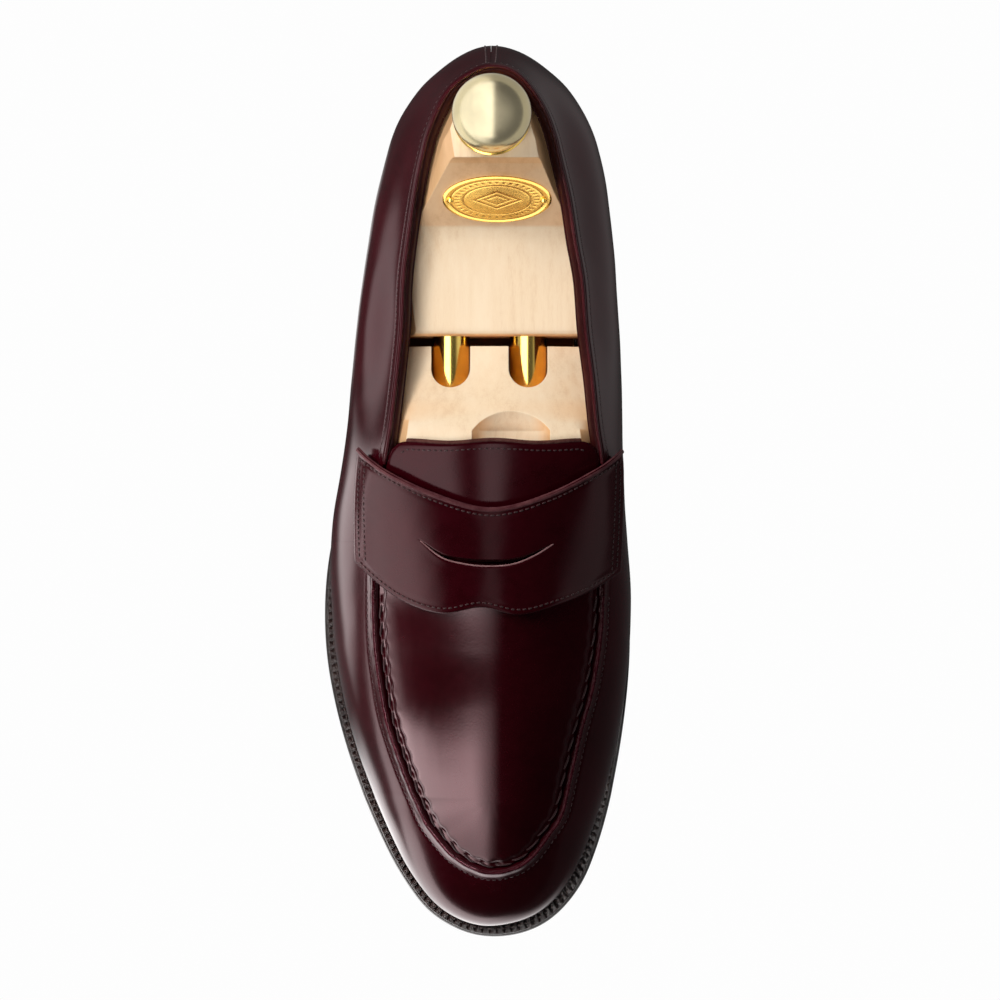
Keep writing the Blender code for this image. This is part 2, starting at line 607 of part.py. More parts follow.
def apron_piping():
    """Raised piping over the moccasin seam."""
    points, normal = wall_frame(round_toe(PIPING_END_MEDIAL, PIPING_END_LATERAL))
    up = unit(normal * 0.55 + UP * 0.62)
    cord("apron_piping", points + up * PIPING_OFFSET, up, width=2.0, height=1.3, sides=6)


def topline_binding():
    """Rolled binding round the opening, over the leather and lining edges."""
    us = round_heel(THROAT + 3.0)
    middle = (wall(us, V_TOP) + wall(us, V_LINING_TOP, LINING[1])) / 2
    cord("topline_binding", middle + UP * BINDING_LIFT, UP, width=3.4, height=1.5, sides=6)


apron_piping()
topline_binding()

# ---------------------------------------------------------------- saddle strap
# (arc length from the crest, y): lateral is negative. Top is the rear edge, bottom the front.
STRAP_TOP = [(-52, 17.5), (-36, 9.5), (-20, 2.6), (0, -2.6), (20, 2.4), (36, 10), (50, 17.0)]
STRAP_BOTTOM = [
    (-52, -20.5), (-42, -27.5), (-30, -34), (-16, -37.6), (-3, -35.6), (9, -38.0), (24, -34.5),
    (37, -30), (50, -24)]
SLOT = [
    (-24.5, -12.9), (-16.5, -18.4), (-9, -20.2), (0, -20.9), (8, -20.2), (14.5, -17.9),
    (21.5, -14.2)]
SLOT_WIDTH = 2.1
SLOT_START, SLOT_END = SLOT[0][0], SLOT[-1][0]
SLOT_COLUMN = 2                     # grid column that the slot opens
STRAP_ARCS = [-52, -45, -38, -31, SLOT_START, -18, -11, -4, 3, 10, 16, SLOT_END, 29, 36, 43, 50]
BACKER_ARCS = [-50.5] + STRAP_ARCS[1:-1] + [48.5]


def section(y, depth):
    """Cross-section line of the upper at y, lateral wall over the crown to medial wall."""
    vs = np.linspace(0.40, 0.93, 14)
    x_lateral, x_medial = (float(x) for x in rail_at(y)[:2])
    xs = np.linspace(x_lateral + 2.5, x_medial - 2.5, 30)
    line = np.vstack([wall(lateral_u(y), vs, depth), crown(xs, y, depth),
                      wall(medial_u(y), vs[::-1], depth)])
    kernel = np.array([1, 2, 3, 2, 1], float) / 9
    smooth = line.copy()
    for c in (0, 2):
        smooth[2:-2, c] = np.convolve(line[:, c], kernel, "valid")
    return smooth


def on_section(y, arc, depth):
    """Point at signed arc length from the crest of the section at y."""
    line = section(y, depth)
    steps = np.linalg.norm(np.diff(line, axis=0), axis=1)
    s = np.concatenate([[0], np.cumsum(steps)])
    crest_s = np.interp(AXIS_X, line[:, 0], s)
    return np.array([np.interp(crest_s + arc, s, line[:, c]) for c in range(3)])


def strap_grid(arcs, depth, shrink=0.0):
    rows = []
    for arc in arcs:
        top = float(spline(STRAP_TOP, arc)) - shrink
        bottom = float(spline(STRAP_BOTTOM, arc)) + shrink
        slot = float(spline(SLOT, arc))
        half = 0.0
        if SLOT_START < arc < SLOT_END:
            share = (arc - SLOT_START) / (SLOT_END - SLOT_START)
            half = SLOT_WIDTH * math.sin(math.pi * share) / 2
        ys = [top, (top + slot) / 2, slot + half, slot - half, (bottom + slot) / 2, bottom]
        rows.append([on_section(y, arc, depth) for y in ys])
    return np.array(rows)


def in_slot(i, j):
    return j == SLOT_COLUMN and STRAP_ARCS.index(SLOT_START) <= i < STRAP_ARCS.index(SLOT_END)


shell("saddle_strap", strap_grid(STRAP_ARCS, -4.1), strap_grid(STRAP_ARCS, -2.75), skip=in_slot)
shell("strap_backer", strap_grid(BACKER_ARCS, -2.2, 1.5), strap_grid(BACKER_ARCS, -1.4, 1.5),
      skip=in_slot)

# ---------------------------------------------------------------- threads
THREAD = dict(width=0.7, height=0.6)
STRAP_THREAD_ARCS = [-49, -42, -34, -26, -18, -9, 0, 9, 18, 27, 36, 47]
STRAP_THREAD_INSET = 2.2
STRAP_THREAD_DEPTH = -5.15


def apron_thread():
    us = round_toe(PIPING_END_MEDIAL - 4, PIPING_END_LATERAL - 4)
    x, y = at(us, dist(RAIL, us) - 3.4)
    points = crown(x, y, -0.35)
    cord("apron_thread", points, crown(x, y, -1.35) - points, **THREAD)


def welt_thread():
    us = round_toe(-15, 8)
    x, y = at(us, dist(SOLE, us) - 1.5)
    path = np.stack([x, y, z_bottom(y) + WELT_Z1 + 0.3], -1)
    cord("welt_thread", path, UP, width=0.7, height=0.5)


def topline_thread():
    points, normal = wall_frame(round_heel(THROAT + 4), 0.90)
    cord("topline_thread", points + normal * 0.7, normal, **THREAD)


def strap_thread():
    """Closed line of thread just inside the strap's edge."""
    spots = [(a, float(spline(STRAP_TOP, a)) - STRAP_THREAD_INSET) for a in STRAP_THREAD_ARCS]
    spots += [(a, float(spline(STRAP_BOTTOM, a)) + STRAP_THREAD_INSET)
              for a in reversed(STRAP_THREAD_ARCS)]
    path, raised = (np.array([on_section(y, a, depth) for a, y in spots])
                    for depth in (STRAP_THREAD_DEPTH, STRAP_THREAD_DEPTH - 1))
    cord("strap_thread", path, unit(raised - path), closed=True, **THREAD)


apron_thread()
welt_thread()
topline_thread()
strap_thread()

# ---------------------------------------------------------------- tree forepart
SLEEVE_R, SLEEVE_INNER_R, TUBE_R, TUBE_INNER_R = 7.3, 6.42, 6.3, 5.4
SLEEVE_FRONT, SLEEVE_REAR, SLEEVE_FLOOR = -19.0, 34.3, 1.2
TUBE_FRONT, TUBE_REAR = 5.0, 84.1
CLEARANCE = 0.12
BORE_R = 6.5                        # tube passage behind the sleeve, and the slot above it
FORE_REAR = 51.5
FORE_CREST = [(18, 78.6), (24, 75.5), (34, 68.0), (44, 60.5), (52, 55.6)]  # y, z
CROWNED_TO = 18                     # up to this y the top follows the crown
FORE_DROP, FORE_REAR_DROP = 5.5, 7.0    # fall of the top at FORE_HALF_WIDTH from the axis
FORE_HALF_WIDTH, FORE_POWER = 33.0, 2.1
FORE_LEVELS = np.array([0.0, 0.14, 0.32, 0.56, 0.8, 1.0])
FORE_COLUMNS = np.array([0.14, 0.3, 0.5, 0.7, 0.86])
FORE_YS = [FORE_REAR, 47, 42, 36, 30, 24, 18, 8, -4, -18, -32, -46, -60, -74, -88, -99]
NOSE = [(-107, 0.86), (-113, 0.62), (-116, 0.3)]    # y, scale of the foremost section
NOSE_LIFT = 1.2
SLOT_ARC_Y, SLOT_TOP = 44.0, 95.0
SCOOP_X, SCOOP_HALF_WIDTH = 3.65, 12.95
SCOOP_VALLEY, SCOOP_FRONT, SCOOP_TOP = 22.9, 14.0, 96.0     # y, y, z
SCOOP_R, SCOOP_R_OFFSET = 16.0, 9.4
SCOOP_SLOPE, SCOOP_FRONT_SLOPE, SCOOP_OVERRUN = 0.62, 0.25, 8.0


def fore_top(x, y, drop):
    side = np.abs((x - AXIS_X) / FORE_HALF_WIDTH)
    return float(spline(FORE_CREST, y)) - drop * side ** FORE_POWER


def fore_side(u, y, foot_inset, cap):
    """Side of a section up the wall, stopped at height cap, its foot moved by foot_inset in x."""
    curve = wall(u, np.linspace(0.04, 0.9, 30), TREE_DEPTH)
    foot_z = float(z_feather(y)) + 4.6
    levels = foot_z + (min(curve[-1, 2], cap) - foot_z) * FORE_LEVELS
    side = np.column_stack([np.interp(levels, curve[:, 2], curve[:, 0]),
                            np.full(len(levels), y), levels])
    side[0, 0] += foot_inset
    return side


def fore_section(y):
    x_lateral, x_medial = (float(x) for x in rail_at(y)[:2])
    xs = x_lateral + (x_medial - x_lateral) * FORE_COLUMNS
    if y <= CROWNED_TO:
        cap = math.inf
        top = crown(xs, y, TREE_DEPTH)
    else:
        drop = FORE_REAR_DROP if y > 30 else FORE_DROP
        cap = float(spline(FORE_CREST, y)) - drop - 1.5
        top = np.stack([xs, np.full(len(xs), y), fore_top(xs, y, drop)], -1)
    ring = np.vstack([fore_side(lateral_u(y), y, 1.0, cap), top,
                      fore_side(medial_u(y), y, -1.0, cap)[::-1]])
    ring[:, 1] = y
    return ring


def nose_section(y, scale):
    base = fore_section(FORE_YS[-1])
    centre = base.mean(0)
    ring = centre + (base - centre) * scale
    ring[:, 1] = y
    ring[:, 2] += NOSE_LIFT
    return ring


def sleeve_bore(guide_x):
    """Stepped hole: wide for the sleeve, narrower for the tube behind it."""
    wide, step_y = SLEEVE_R + CLEARANCE, SLEEVE_REAR + 0.2
    front, rear = SLEEVE_FRONT - 1.0, FORE_REAR + 2
    profile = [(0, front), (wide, front), (wide, step_y), (BORE_R, step_y), (BORE_R, rear),
               (0, rear)]
    return lathe("bore", profile, (guide_x, 0, GUIDE_Z), "y")


def tube_slot(guide_x):
    """Round-ended slot from the bore up through the rear edge of the forepart."""
    left, right, rear = guide_x - BORE_R, guide_x + BORE_R, FORE_REAR + 3
    arc = [(guide_x - BORE_R * math.cos(a), SLOT_ARC_Y - BORE_R * math.sin(a))
           for a in np.linspace(0.3, math.pi - 0.3, 7)]
    outline = [(left, rear), (left, SLOT_ARC_Y), *arc, (right, SLOT_ARC_Y), (right, rear)]
    return loft("slot", [[(x, y, z) for x, y in outline] for z in (GUIDE_Z, SLOT_TOP)],
                caps_first=True)


def scoop_section(x):
    """Half-moon thumb scoop: slopes from an arc down to a straight valley, then rises gently
    towards the tongue."""
    dx = min(abs(x - SCOOP_X), SCOOP_HALF_WIDTH)
    run = max(math.sqrt(SCOOP_R ** 2 - dx * dx) - SCOOP_R_OFFSET, 0.02)
    arc_z = fore_top(x, SCOOP_VALLEY + run, FORE_DROP)
    valley_z = arc_z - SCOOP_SLOPE * run
    rear = SCOOP_VALLEY + run + SCOOP_OVERRUN
    front_z = valley_z + SCOOP_FRONT_SLOPE * (SCOOP_VALLEY - SCOOP_FRONT)
    return [(x, SCOOP_VALLEY, valley_z), (x, rear, arc_z + SCOOP_OVERRUN * SCOOP_SLOPE),
            (x, rear, SCOOP_TOP), (x, SCOOP_FRONT, SCOOP_TOP), (x, SCOOP_FRONT, front_z)]


def tree_forepart():
    body = loft("tree_forepart", [fore_section(y) for y in FORE_YS]
                + [nose_section(y, scale) for y, scale in NOSE])
    cutters = []
    for guide_x in GUIDE_XS:
        cutters += [sleeve_bore(guide_x), tube_slot(guide_x)]
    scoop = [scoop_section(SCOOP_X + SCOOP_HALF_WIDTH * t) for t in np.linspace(-0.98, 0.98, 12)]
    cutters.append(loft("scoop", scoop, caps_first=True))
    cut(body, cutters)


tree_forepart()

# ---------------------------------------------------------------- tree heel block
HEEL_FRONT = 54.9
PLATFORM_Z = 88.0
HEEL_LEVELS = [33.1, 37, 43, 51, 60, 70, 79, PLATFORM_Z]
HEEL_TAPER = 0.25                   # inward slope above the wall's top
RAMP_HALF_WIDTH = 60
# Side outline (y, z) of the material removed in front of and above the block
RAMP = [
    (HEEL_FRONT - 3, 57.4), (62, 57.6), (70, 58.2), (77, 59.2), (83, 60.7), (87.5, 62.3),
    (90.5, 64.0), (110.2, 84.6), (112.0, 87.6), (112.2, 99.0), (HEEL_FRONT - 3, 99.0)]
# Three points on each sloping side face: lateral, medial
FACETS = [
    ((-14.84, 112.1, 88.0), (-23.1, 100.3, 74.0), (-17.3, 127.4, 88.0)),
    ((13.63, 112.1, 88.0), (22.1, 99.3, 72.8), (11.4, 127.4, 88.0))]
FACET_DEPTH, FACET_SIZE = 40.0, 60.0


def heel_ring(z):
    ring = []
    for u in round_heel(HEEL_FRONT):
        curve = wall(u, np.linspace(0.06, 1.0, 24), TREE_DEPTH)
        start_y, dir_x, dir_y = ray(u)
        r = (curve[:, 0] - AXIS_X) * dir_x + (curve[:, 1] - start_y) * dir_y
        top_z = curve[-1, 2]
        reach = np.interp(z, curve[:, 2], r) if z <= top_z else r[-1] - HEEL_TAPER * (z - top_z)
        x, y = at(u, reach)
        ring.append((float(x), max(float(y), HEEL_FRONT), z))
    return ring


def facet_cutter(points):
    """Slab on the upper side of the plane through three points."""
    a, b, c = (np.array(p, float) for p in points)
    normal = unit(np.cross(b - a, c - a))
    normal = normal if normal[2] > 0 else -normal
    edge = unit(c - a)
    across = np.cross(normal, edge)
    rings = [[a + edge * i * FACET_SIZE + across * j * FACET_SIZE + normal * h
              for i, j in ((-1, -1), (1, -1), (1, 1), (-1, 1))] for h in (0.0, FACET_DEPTH)]
    return loft("facet", rings, caps_first=True)


def plug(name, r, start, end, origin, **options):
    """Solid cylinder."""
    return lathe(name, [(0, start), (r, start), (r, end), (0, end)], origin, **options)


def tree_heel_block():
    body = loft("tree_heel_block", [heel_ring(z) for z in HEEL_LEVELS])
    cutters = [loft("ramp", [[(x, y, z) for y, z in RAMP]
                             for x in (-RAMP_HALF_WIDTH, RAMP_HALF_WIDTH)], caps_first=True)]
    cutters += [plug("tube_hole", TUBE_R + CLEARANCE, 40.0, TUBE_REAR + 0.3,
                     (guide_x, 0, GUIDE_Z), axis="y") for guide_x in GUIDE_XS]
    cutters.append(plug("screw_hole", 2.3, 66.0, 99.0, (KNOB_X, KNOB_Y, 0), segments=12))
    cutters += [facet_cutter(points) for points in FACETS]
    cut(body, cutters)


tree_heel_block()

# ---------------------------------------------------------------- guides, springs and knob
SPRING_TURNS, SPRING_STEPS = 6, 8
SPRING_WIRE_R, SPRING_R, SPRING_GAP = 0.45, 5.75, 0.3


def guide_sleeve(side, origin):
    floor_y = SLEEVE_FRONT + SLEEVE_FLOOR
    lathe("guide_sleeve_" + side,
          [(0, SLEEVE_FRONT), (SLEEVE_R, SLEEVE_FRONT), (SLEEVE_R, SLEEVE_REAR),
           (SLEEVE_INNER_R, SLEEVE_REAR), (SLEEVE_INNER_R, floor_y), (0, floor_y)], origin, "y")


def guide_tube(side, origin):
    lathe("guide_tube_" + side, [(TUBE_INNER_R, TUBE_FRONT), (TUBE_R, TUBE_FRONT),
                                 (TUBE_R, TUBE_REAR), (TUBE_INNER_R, TUBE_REAR)], origin, "y")


def spring(side, guide_x):
    """Coil between the sleeve's floor and the tube's front end."""
    y0 = SLEEVE_FRONT + SLEEVE_FLOOR + SPRING_GAP + SPRING_WIRE_R
    y1 = TUBE_FRONT - SPRING_GAP - SPRING_WIRE_R
    count = SPRING_TURNS * SPRING_STEPS
    k = np.arange(count + 1)
    angle = k * 2 * math.pi / SPRING_STEPS
    radial = np.stack([np.cos(angle), 0 * angle, np.sin(angle)], -1)
    centre = np.array([guide_x, 0, GUIDE_Z]) + radial * SPRING_R
    centre[:, 1] = y0 + (y1 - y0) * k / count
    along = np.array([0, 1.0, 0])
    corners = [centre + (radial * math.cos(a) + along * math.sin(a)) * SPRING_WIRE_R
               for a in np.radians([45, 135, 225, 315])]
    loft("spring_" + side, np.stack(corners, 1))


for guide_x, side in zip(GUIDE_XS, ("lateral", "medial")):
    guide_sleeve(side, (guide_x, 0, GUIDE_Z))
    guide_tube(side, (guide_x, 0, GUIDE_Z))
    spring(side, guide_x)

SCREW_CLEAR_R = 2.5
COLLAR_R, COLLAR_Z0, COLLAR_Z1 = 12.6, PLATFORM_Z + 0.3, PLATFORM_Z + 1.9
KNOB_PROFILE = [                    # radius, z; the last two points are the screw hole's roof
    (SCREW_CLEAR_R, 90.2), (6.2, 90.2), (6.2, 92.6), (11.2, 95.0), (12.9, 99.0), (12.6, 103.0),
    (10.6, 107.0), (6.0, 109.8), (0, 110.8), (0, 101.0), (SCREW_CLEAR_R, 101.0)]

lathe("knob_collar", [(SCREW_CLEAR_R, COLLAR_Z0), (COLLAR_R, COLLAR_Z0), (COLLAR_R, COLLAR_Z1),
                      (SCREW_CLEAR_R, COLLAR_Z1)], (KNOB_X, KNOB_Y, 0))
lathe("knob", KNOB_PROFILE, (KNOB_X, KNOB_Y, 0))
plug("knob_screw", 2.1, 67.0, 100.6, (KNOB_X, KNOB_Y, 0), segments=12)

# ---------------------------------------------------------------- name plate on the ramp
SLOPE_START, SLOPE_END = np.array([90.5, 63.6]), np.array([109.0, 83.0])    # y, z
SLOPE_DIR = unit(SLOPE_END - SLOPE_START)
SLOPE_NORMAL = np.array([-SLOPE_DIR[1], SLOPE_DIR[0]])
SLOPE_MIDDLE = (SLOPE_START + SLOPE_END) / 2
PLATE_X, PIN_OFFSET = -1.0, 15.4
PIN_PROFILE = [(0.95, 1.3), (0.95, 1.7), (0.5, 2.1)]


def on_slope(name, centre_x, profile, segments, half_width=1.0, half_length=1.0):
    """Oval solid lying on the slope; profile holds (scale, height above the slope)."""
    rings = []
    for r, h in profile:
        ring = []
        for k in range(segments):
            a = 2 * math.pi * k / segments
            y, z = SLOPE_MIDDLE + SLOPE_DIR * r * half_length * math.sin(a) + SLOPE_NORMAL * h
            ring.append((centre_x + r * half_width * math.cos(a), y, z))
        rings.append(ring)
    loft(name, rings)


on_slope("name_plate", PLATE_X, [(1.0, 0.3), (1.0, 1.0)], 32, half_width=18.0, half_length=10.2)
on_slope("plate_pin_lateral", PLATE_X - PIN_OFFSET, PIN_PROFILE, 10)
on_slope("plate_pin_medial", PLATE_X + PIN_OFFSET, PIN_PROFILE, 10)
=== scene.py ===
# Penny loafer with a sprung shoe tree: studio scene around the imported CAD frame.
# Geometry is worked out in millimetres in the design frame and moved into the row frame by SHIFT.
import math

import bpy
import bmesh
import numpy as np
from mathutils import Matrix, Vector
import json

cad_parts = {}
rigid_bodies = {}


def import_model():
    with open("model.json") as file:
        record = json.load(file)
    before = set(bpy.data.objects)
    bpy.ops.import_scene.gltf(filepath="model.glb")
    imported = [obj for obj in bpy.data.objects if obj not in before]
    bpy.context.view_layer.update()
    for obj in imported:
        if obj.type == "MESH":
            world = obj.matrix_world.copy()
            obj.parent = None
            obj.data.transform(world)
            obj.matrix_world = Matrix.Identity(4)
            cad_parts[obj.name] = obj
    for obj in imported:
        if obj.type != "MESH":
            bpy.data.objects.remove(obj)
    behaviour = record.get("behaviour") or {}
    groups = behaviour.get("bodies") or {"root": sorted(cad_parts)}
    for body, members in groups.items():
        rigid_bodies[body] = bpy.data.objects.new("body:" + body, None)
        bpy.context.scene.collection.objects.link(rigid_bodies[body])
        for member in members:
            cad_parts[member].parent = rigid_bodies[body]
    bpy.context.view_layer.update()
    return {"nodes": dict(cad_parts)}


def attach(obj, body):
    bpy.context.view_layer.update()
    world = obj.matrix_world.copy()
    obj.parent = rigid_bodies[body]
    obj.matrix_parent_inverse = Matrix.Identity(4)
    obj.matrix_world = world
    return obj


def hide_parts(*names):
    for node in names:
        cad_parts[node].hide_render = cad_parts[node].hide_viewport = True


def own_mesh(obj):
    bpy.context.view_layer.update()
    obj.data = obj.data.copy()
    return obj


MM = 0.001
X_AXIS = -3.0
Y_TOE, Y_HEEL = -100.0, 118.0
R_TOE, R_HEEL = 40.0, 32.0
OUTSOLE_T, WELT_T, HEEL_H = 5.0, 2.4, 20.5
BALL0, BALL1, BREAST = -78.0, -30.0, 73.0
SHIFT = (7.803, -0.909, 0.0)

# Outsole edge, feather line, widest line and top rail: toe, lateral side, heel, medial side.
SOLE = [(-2.8,-150.8),(-12.5,-149.1),(-22.2,-143.9),(-27.7,-138.7),(-35,-128.3),(-40.6,-117.9),(-47.5,-102.3),(-53,-86.7),
        (-57.2,-71.1),(-60,-55.5),(-60.9,-40),(-60,-24),(-57,-8),(-52.5,8),(-47.5,25),(-43.5,42),(-40.8,58),(-39.5,75),(-38.6,90),
        (-36.6,105),(-33,119),(-27.5,132),(-18.5,143),(-8.5,148.6),(-2,149.6),(5,149),(14,144.6),(22,136),(27.5,124.5),(31,109),
        (32.5,92),(33,76),(32,60),(31.2,45),(31.8,30),(34.6,12),(38.5,-5),(42.2,-21),(44.6,-36),(45.2,-48),(44.6,-62),(43,-77),
        (40.6,-92),(37.4,-107),(33.2,-121),(27.7,-133.5),(18.7,-143.9),(8.7,-149.2)]
FEATHER = [(-2.8,-144.8),(-11.5,-143.4),(-20,-138.6),(-26,-132),(-31.5,-124),(-37.5,-112),(-42.6,-100),(-47.8,-86),(-51.8,-71),
           (-54.6,-56),(-55.4,-45),(-55.2,-32),(-53.8,-18),(-51,-4),(-47.8,10),(-45,24),(-42.6,38),(-40.4,52),(-38.8,66),
           (-37.6,80),(-36.4,94),(-34.2,107),(-31,119),(-26,130),(-18,140.2),(-8.5,145.9),(-1.8,147),(5,146),(13.5,141.2),
           (20.5,132.5),(25.5,121.5),(28.6,109),(30.2,95),(31,80),(31,66),(30.5,52),(30.4,38),(31.2,24),(33,10),(36,-5),
           (39.2,-20),(41.9,-34),(42.6,-46),(42.2,-58),(41,-70),(38.9,-83),(36,-96),(32.4,-108),(28,-120),(23,-130),
           (15.5,-138.5),(6.5,-143.7)]
WIDEST = [(-2.8,-145.8),(-12,-144.3),(-20.9,-139.4),(-27,-132.6),(-32.5,-124.4),(-38.6,-112.2),(-43.8,-100),(-49.1,-86),
          (-53.2,-71),(-56.1,-56),(-57.3,-45),(-58,-32),(-58.1,-22),(-57.6,-13.5),(-56.5,-3.4),(-54.5,6.8),(-52.8,16.9),
          (-51.4,27.1),(-50.5,37.2),(-49,52.4),(-47.3,67.6),(-45,82.9),(-42.6,98.1),(-40.2,108.2),(-37.5,118.4),(-33.5,128.5),
          (-26.4,138.7),(-21.3,143.2),(-15.2,148),(-8,151.6),(-2.2,152.6),(5,151),(11.2,147.9),(17.9,142.8),(23,138),(29.1,128.5),
          (33.1,118.4),(35.5,108.2),(36.9,98.1),(38.6,83),(39.6,67.6),(40.6,52.4),(41.2,37),(41.4,27),(41.6,16.9),(42,6.8),
          (42.5,-3.4),(43.4,-13.5),(44.4,-23.7),(45,-34),(44.8,-45),(44.1,-56),(42.9,-67),(41,-79),(38.2,-92),(34.8,-104),
          (30.6,-116),(25.6,-127),(19,-136.5),(10,-143)]
RAIL = [(-2.7,-125,45.5),(-5.4,-124.8,45.5),(-11.5,-122.1,45.6),(-16.5,-118.4,45.8),(-20.2,-114,46),(-24.3,-108.6,46),
        (-27.3,-101.8,46),(-30.7,-94.4,46),(-35.1,-81.9,46.2),(-37.8,-72.8,46.5),(-39.8,-60.7,47.2),(-41.4,-47.1,48.8),
        (-41.7,-28.2,53),(-40.8,0,65),(-37.6,17.8,73),(-35.4,34.4,71.5),(-33.1,56.3,70),(-32.4,73.2,70.5),(-30.7,87,72.5),
        (-28.7,100.3,75.5),(-27,109.3,78),(-24.3,119.6,81),(-21.3,126.9,83.5),(-16,135.5,86),(-6.5,141.6,87.6),(-1.3,142.2,88),
        (4.2,140.9,87.8),(9.5,136.3,86.5),(15.1,127.8,84),(18.4,118.9,81.5),(21.1,108.2,79),(23.4,98.5,77),(25.4,85.1,75),
        (27.7,73,74),(28.9,56.2,73.5),(31,40,74),(32.6,23.4,74.5),(34.4,12.6,72.5),(34.8,0,66),(34.2,-20,57),(33.6,-34.6,51.5),
        (33,-47.1,49),(30.3,-64,47),(27,-75.9,46.4),(23.6,-90.4,46),(21.2,-101.2,46),(19.6,-106.9,46),(15.8,-112.3,46),
        (11.8,-118,45.8),(8.1,-121.7,45.6),(5.1,-123.4,45.5),(0.3,-124.8,45.5)]
CREST = [(-126,45.3),(-120,50.0),(-110,54.1),(-100,56.9),(-85,60.0),(-70,62.4),(-50,64.9),(-30,68.4),(-10,73.8),(5,78.4),(20,82),(32,84)]
Z_WIDE = [(-152,27),(-135,24),(-120,21.5),(-90,18.5),(-60,18),(-40,20),(-20,26),(0,34),(20,40),(50,44),(100,46),(153,50)]
RAIL_ANGLE = [(-152,36),(-120,38),(-60,40),(-30,44),(0,54),(20,64),(60,68),(120,72),(153,76)]


def spline1(table, x):
    """Smooth one-dimensional interpolation (Catmull-Rom slopes)."""
    t = np.array(table, float)
    xs, ys = t[:, 0], t[:, 1]
    m = np.gradient(ys, xs)
    x = np.clip(np.asarray(x, float), xs[0], xs[-1])
    i = np.clip(np.searchsorted(xs, x, side="right") - 1, 0, len(xs) - 2)
    h = xs[i + 1] - xs[i]
    s = (x - xs[i]) / h
    return ((2*s**3 - 3*s**2 + 1)*ys[i] + (s**3 - 2*s**2 + s)*h*m[i]
            + (-2*s**3 + 3*s**2)*ys[i + 1] + (s**3 - s**2)*h*m[i + 1])


U_A = R_TOE * math.pi / 2
U_B = U_A + (Y_HEEL - Y_TOE)
U_C = U_B + R_HEEL * math.pi
U_D = U_C + (Y_HEEL - Y_TOE)
U_E = U_D + R_TOE * math.pi / 2


def ray(u):
    """Foot of the ray on the axis and its direction, for the loop coordinate u."""
    u = np.mod(np.asarray(u, float), U_E)
    lat, med = (u >= U_A) & (u < U_B), (u >= U_C) & (u < U_D)
    toe1, toe2, heel = u < U_A, u >= U_D, (u >= U_B) & (u < U_C)
    oy = np.where(lat, Y_TOE + (u - U_A), np.where(med, Y_HEEL - (u - U_C), np.where(heel, Y_HEEL, Y_TOE)))
    ang = np.where(toe1, -np.pi/2 - u / R_TOE, np.where(toe2, -np.pi/2 + (U_E - u) / R_TOE,
          np.where(heel, np.pi - (u - U_B) / R_HEEL, np.where(lat, np.pi, 0.0))))
    return np.full_like(oy, X_AXIS), oy, np.cos(ang), np.sin(ang)


def to_u(x, y):
    if y < Y_TOE:
        a = math.atan2(X_AXIS - x, Y_TOE - y)
        return a * R_TOE if a >= 0 else U_E + a * R_TOE
    if y > Y_HEEL:
        return U_B + (math.atan2(y - Y_HEEL, X_AXIS - x)) * R_HEEL
    return U_A + (y - Y_TOE) if x < X_AXIS else U_C + (Y_HEEL - y)


def loop_table(pts, sub=24):
    """Periodic Catmull-Rom loop turned into distance (and height) against u."""
    p = np.array(pts, float)
    n = len(p)
    out = []
    for i in range(n):
        p0, p1, p2, p3 = p[i - 1], p[i], p[(i + 1) % n], p[(i + 2) % n]
        for k in range(sub):
            t = k / sub
            q = 0.5*((2*p1) + (-p0 + p2)*t + (2*p0 - 5*p1 + 4*p2 - p3)*t*t + (-p0 + 3*p1 - 3*p2 + p3)*t**3)
            u = to_u(q[0], q[1])
            ox, oy, dx, dy = ray(u)
            out.append((u, math.hypot(q[0] - float(ox), q[1] - float(oy)), q[2] if len(q) > 2 else 0.0))
    a = np.array(sorted(out))
    g = np.arange(0.0, U_E, 1.0)
    wide = np.vstack([a + (k * U_E, 0, 0) for k in (-1, 0, 1)])
    w = np.exp(-(np.arange(-9, 10) / 4.0) ** 2)
    w /= w.sum()
    cols = [g]
    for c in (1, 2):
        v = np.interp(g, wide[:, 0], wide[:, c])
        cols.append(sum(wk * np.roll(v, k - 9) for k, wk in enumerate(w)))
    a = np.stack(cols, 1)
    lo, hi = a[-4:].copy(), a[:4].copy()
    lo[:, 0] -= U_E
    hi[:, 0] += U_E
    return np.vstack([lo, a, hi])


T_SOLE, T_FEATHER, T_WIDE, T_RAIL = (loop_table(t) for t in (SOLE, FEATHER, WIDEST, RAIL))


def dist(table, u):
    return np.interp(np.mod(u, U_E), table[:, 0], table[:, 1])


def z_bottom(y):
    """Underside of the outsole: flat tread, toe spring, shank rise, level heel seat."""
    y = np.asarray(y, float)
    toe = 11.0 * np.clip((BALL0 - y) / 72.8, 0, None) ** 1.7
    t = np.clip((y - BALL1) / (BREAST - BALL1), 0, 1)
    return toe + HEEL_H * t * t * (3 - 2 * t)


def at(u, r):
    ox, oy, dx, dy = ray(u)
    return ox + dx * r, oy + dy * r


def z_feather(y):
    return z_bottom(y) + OUTSOLE_T + 3.0


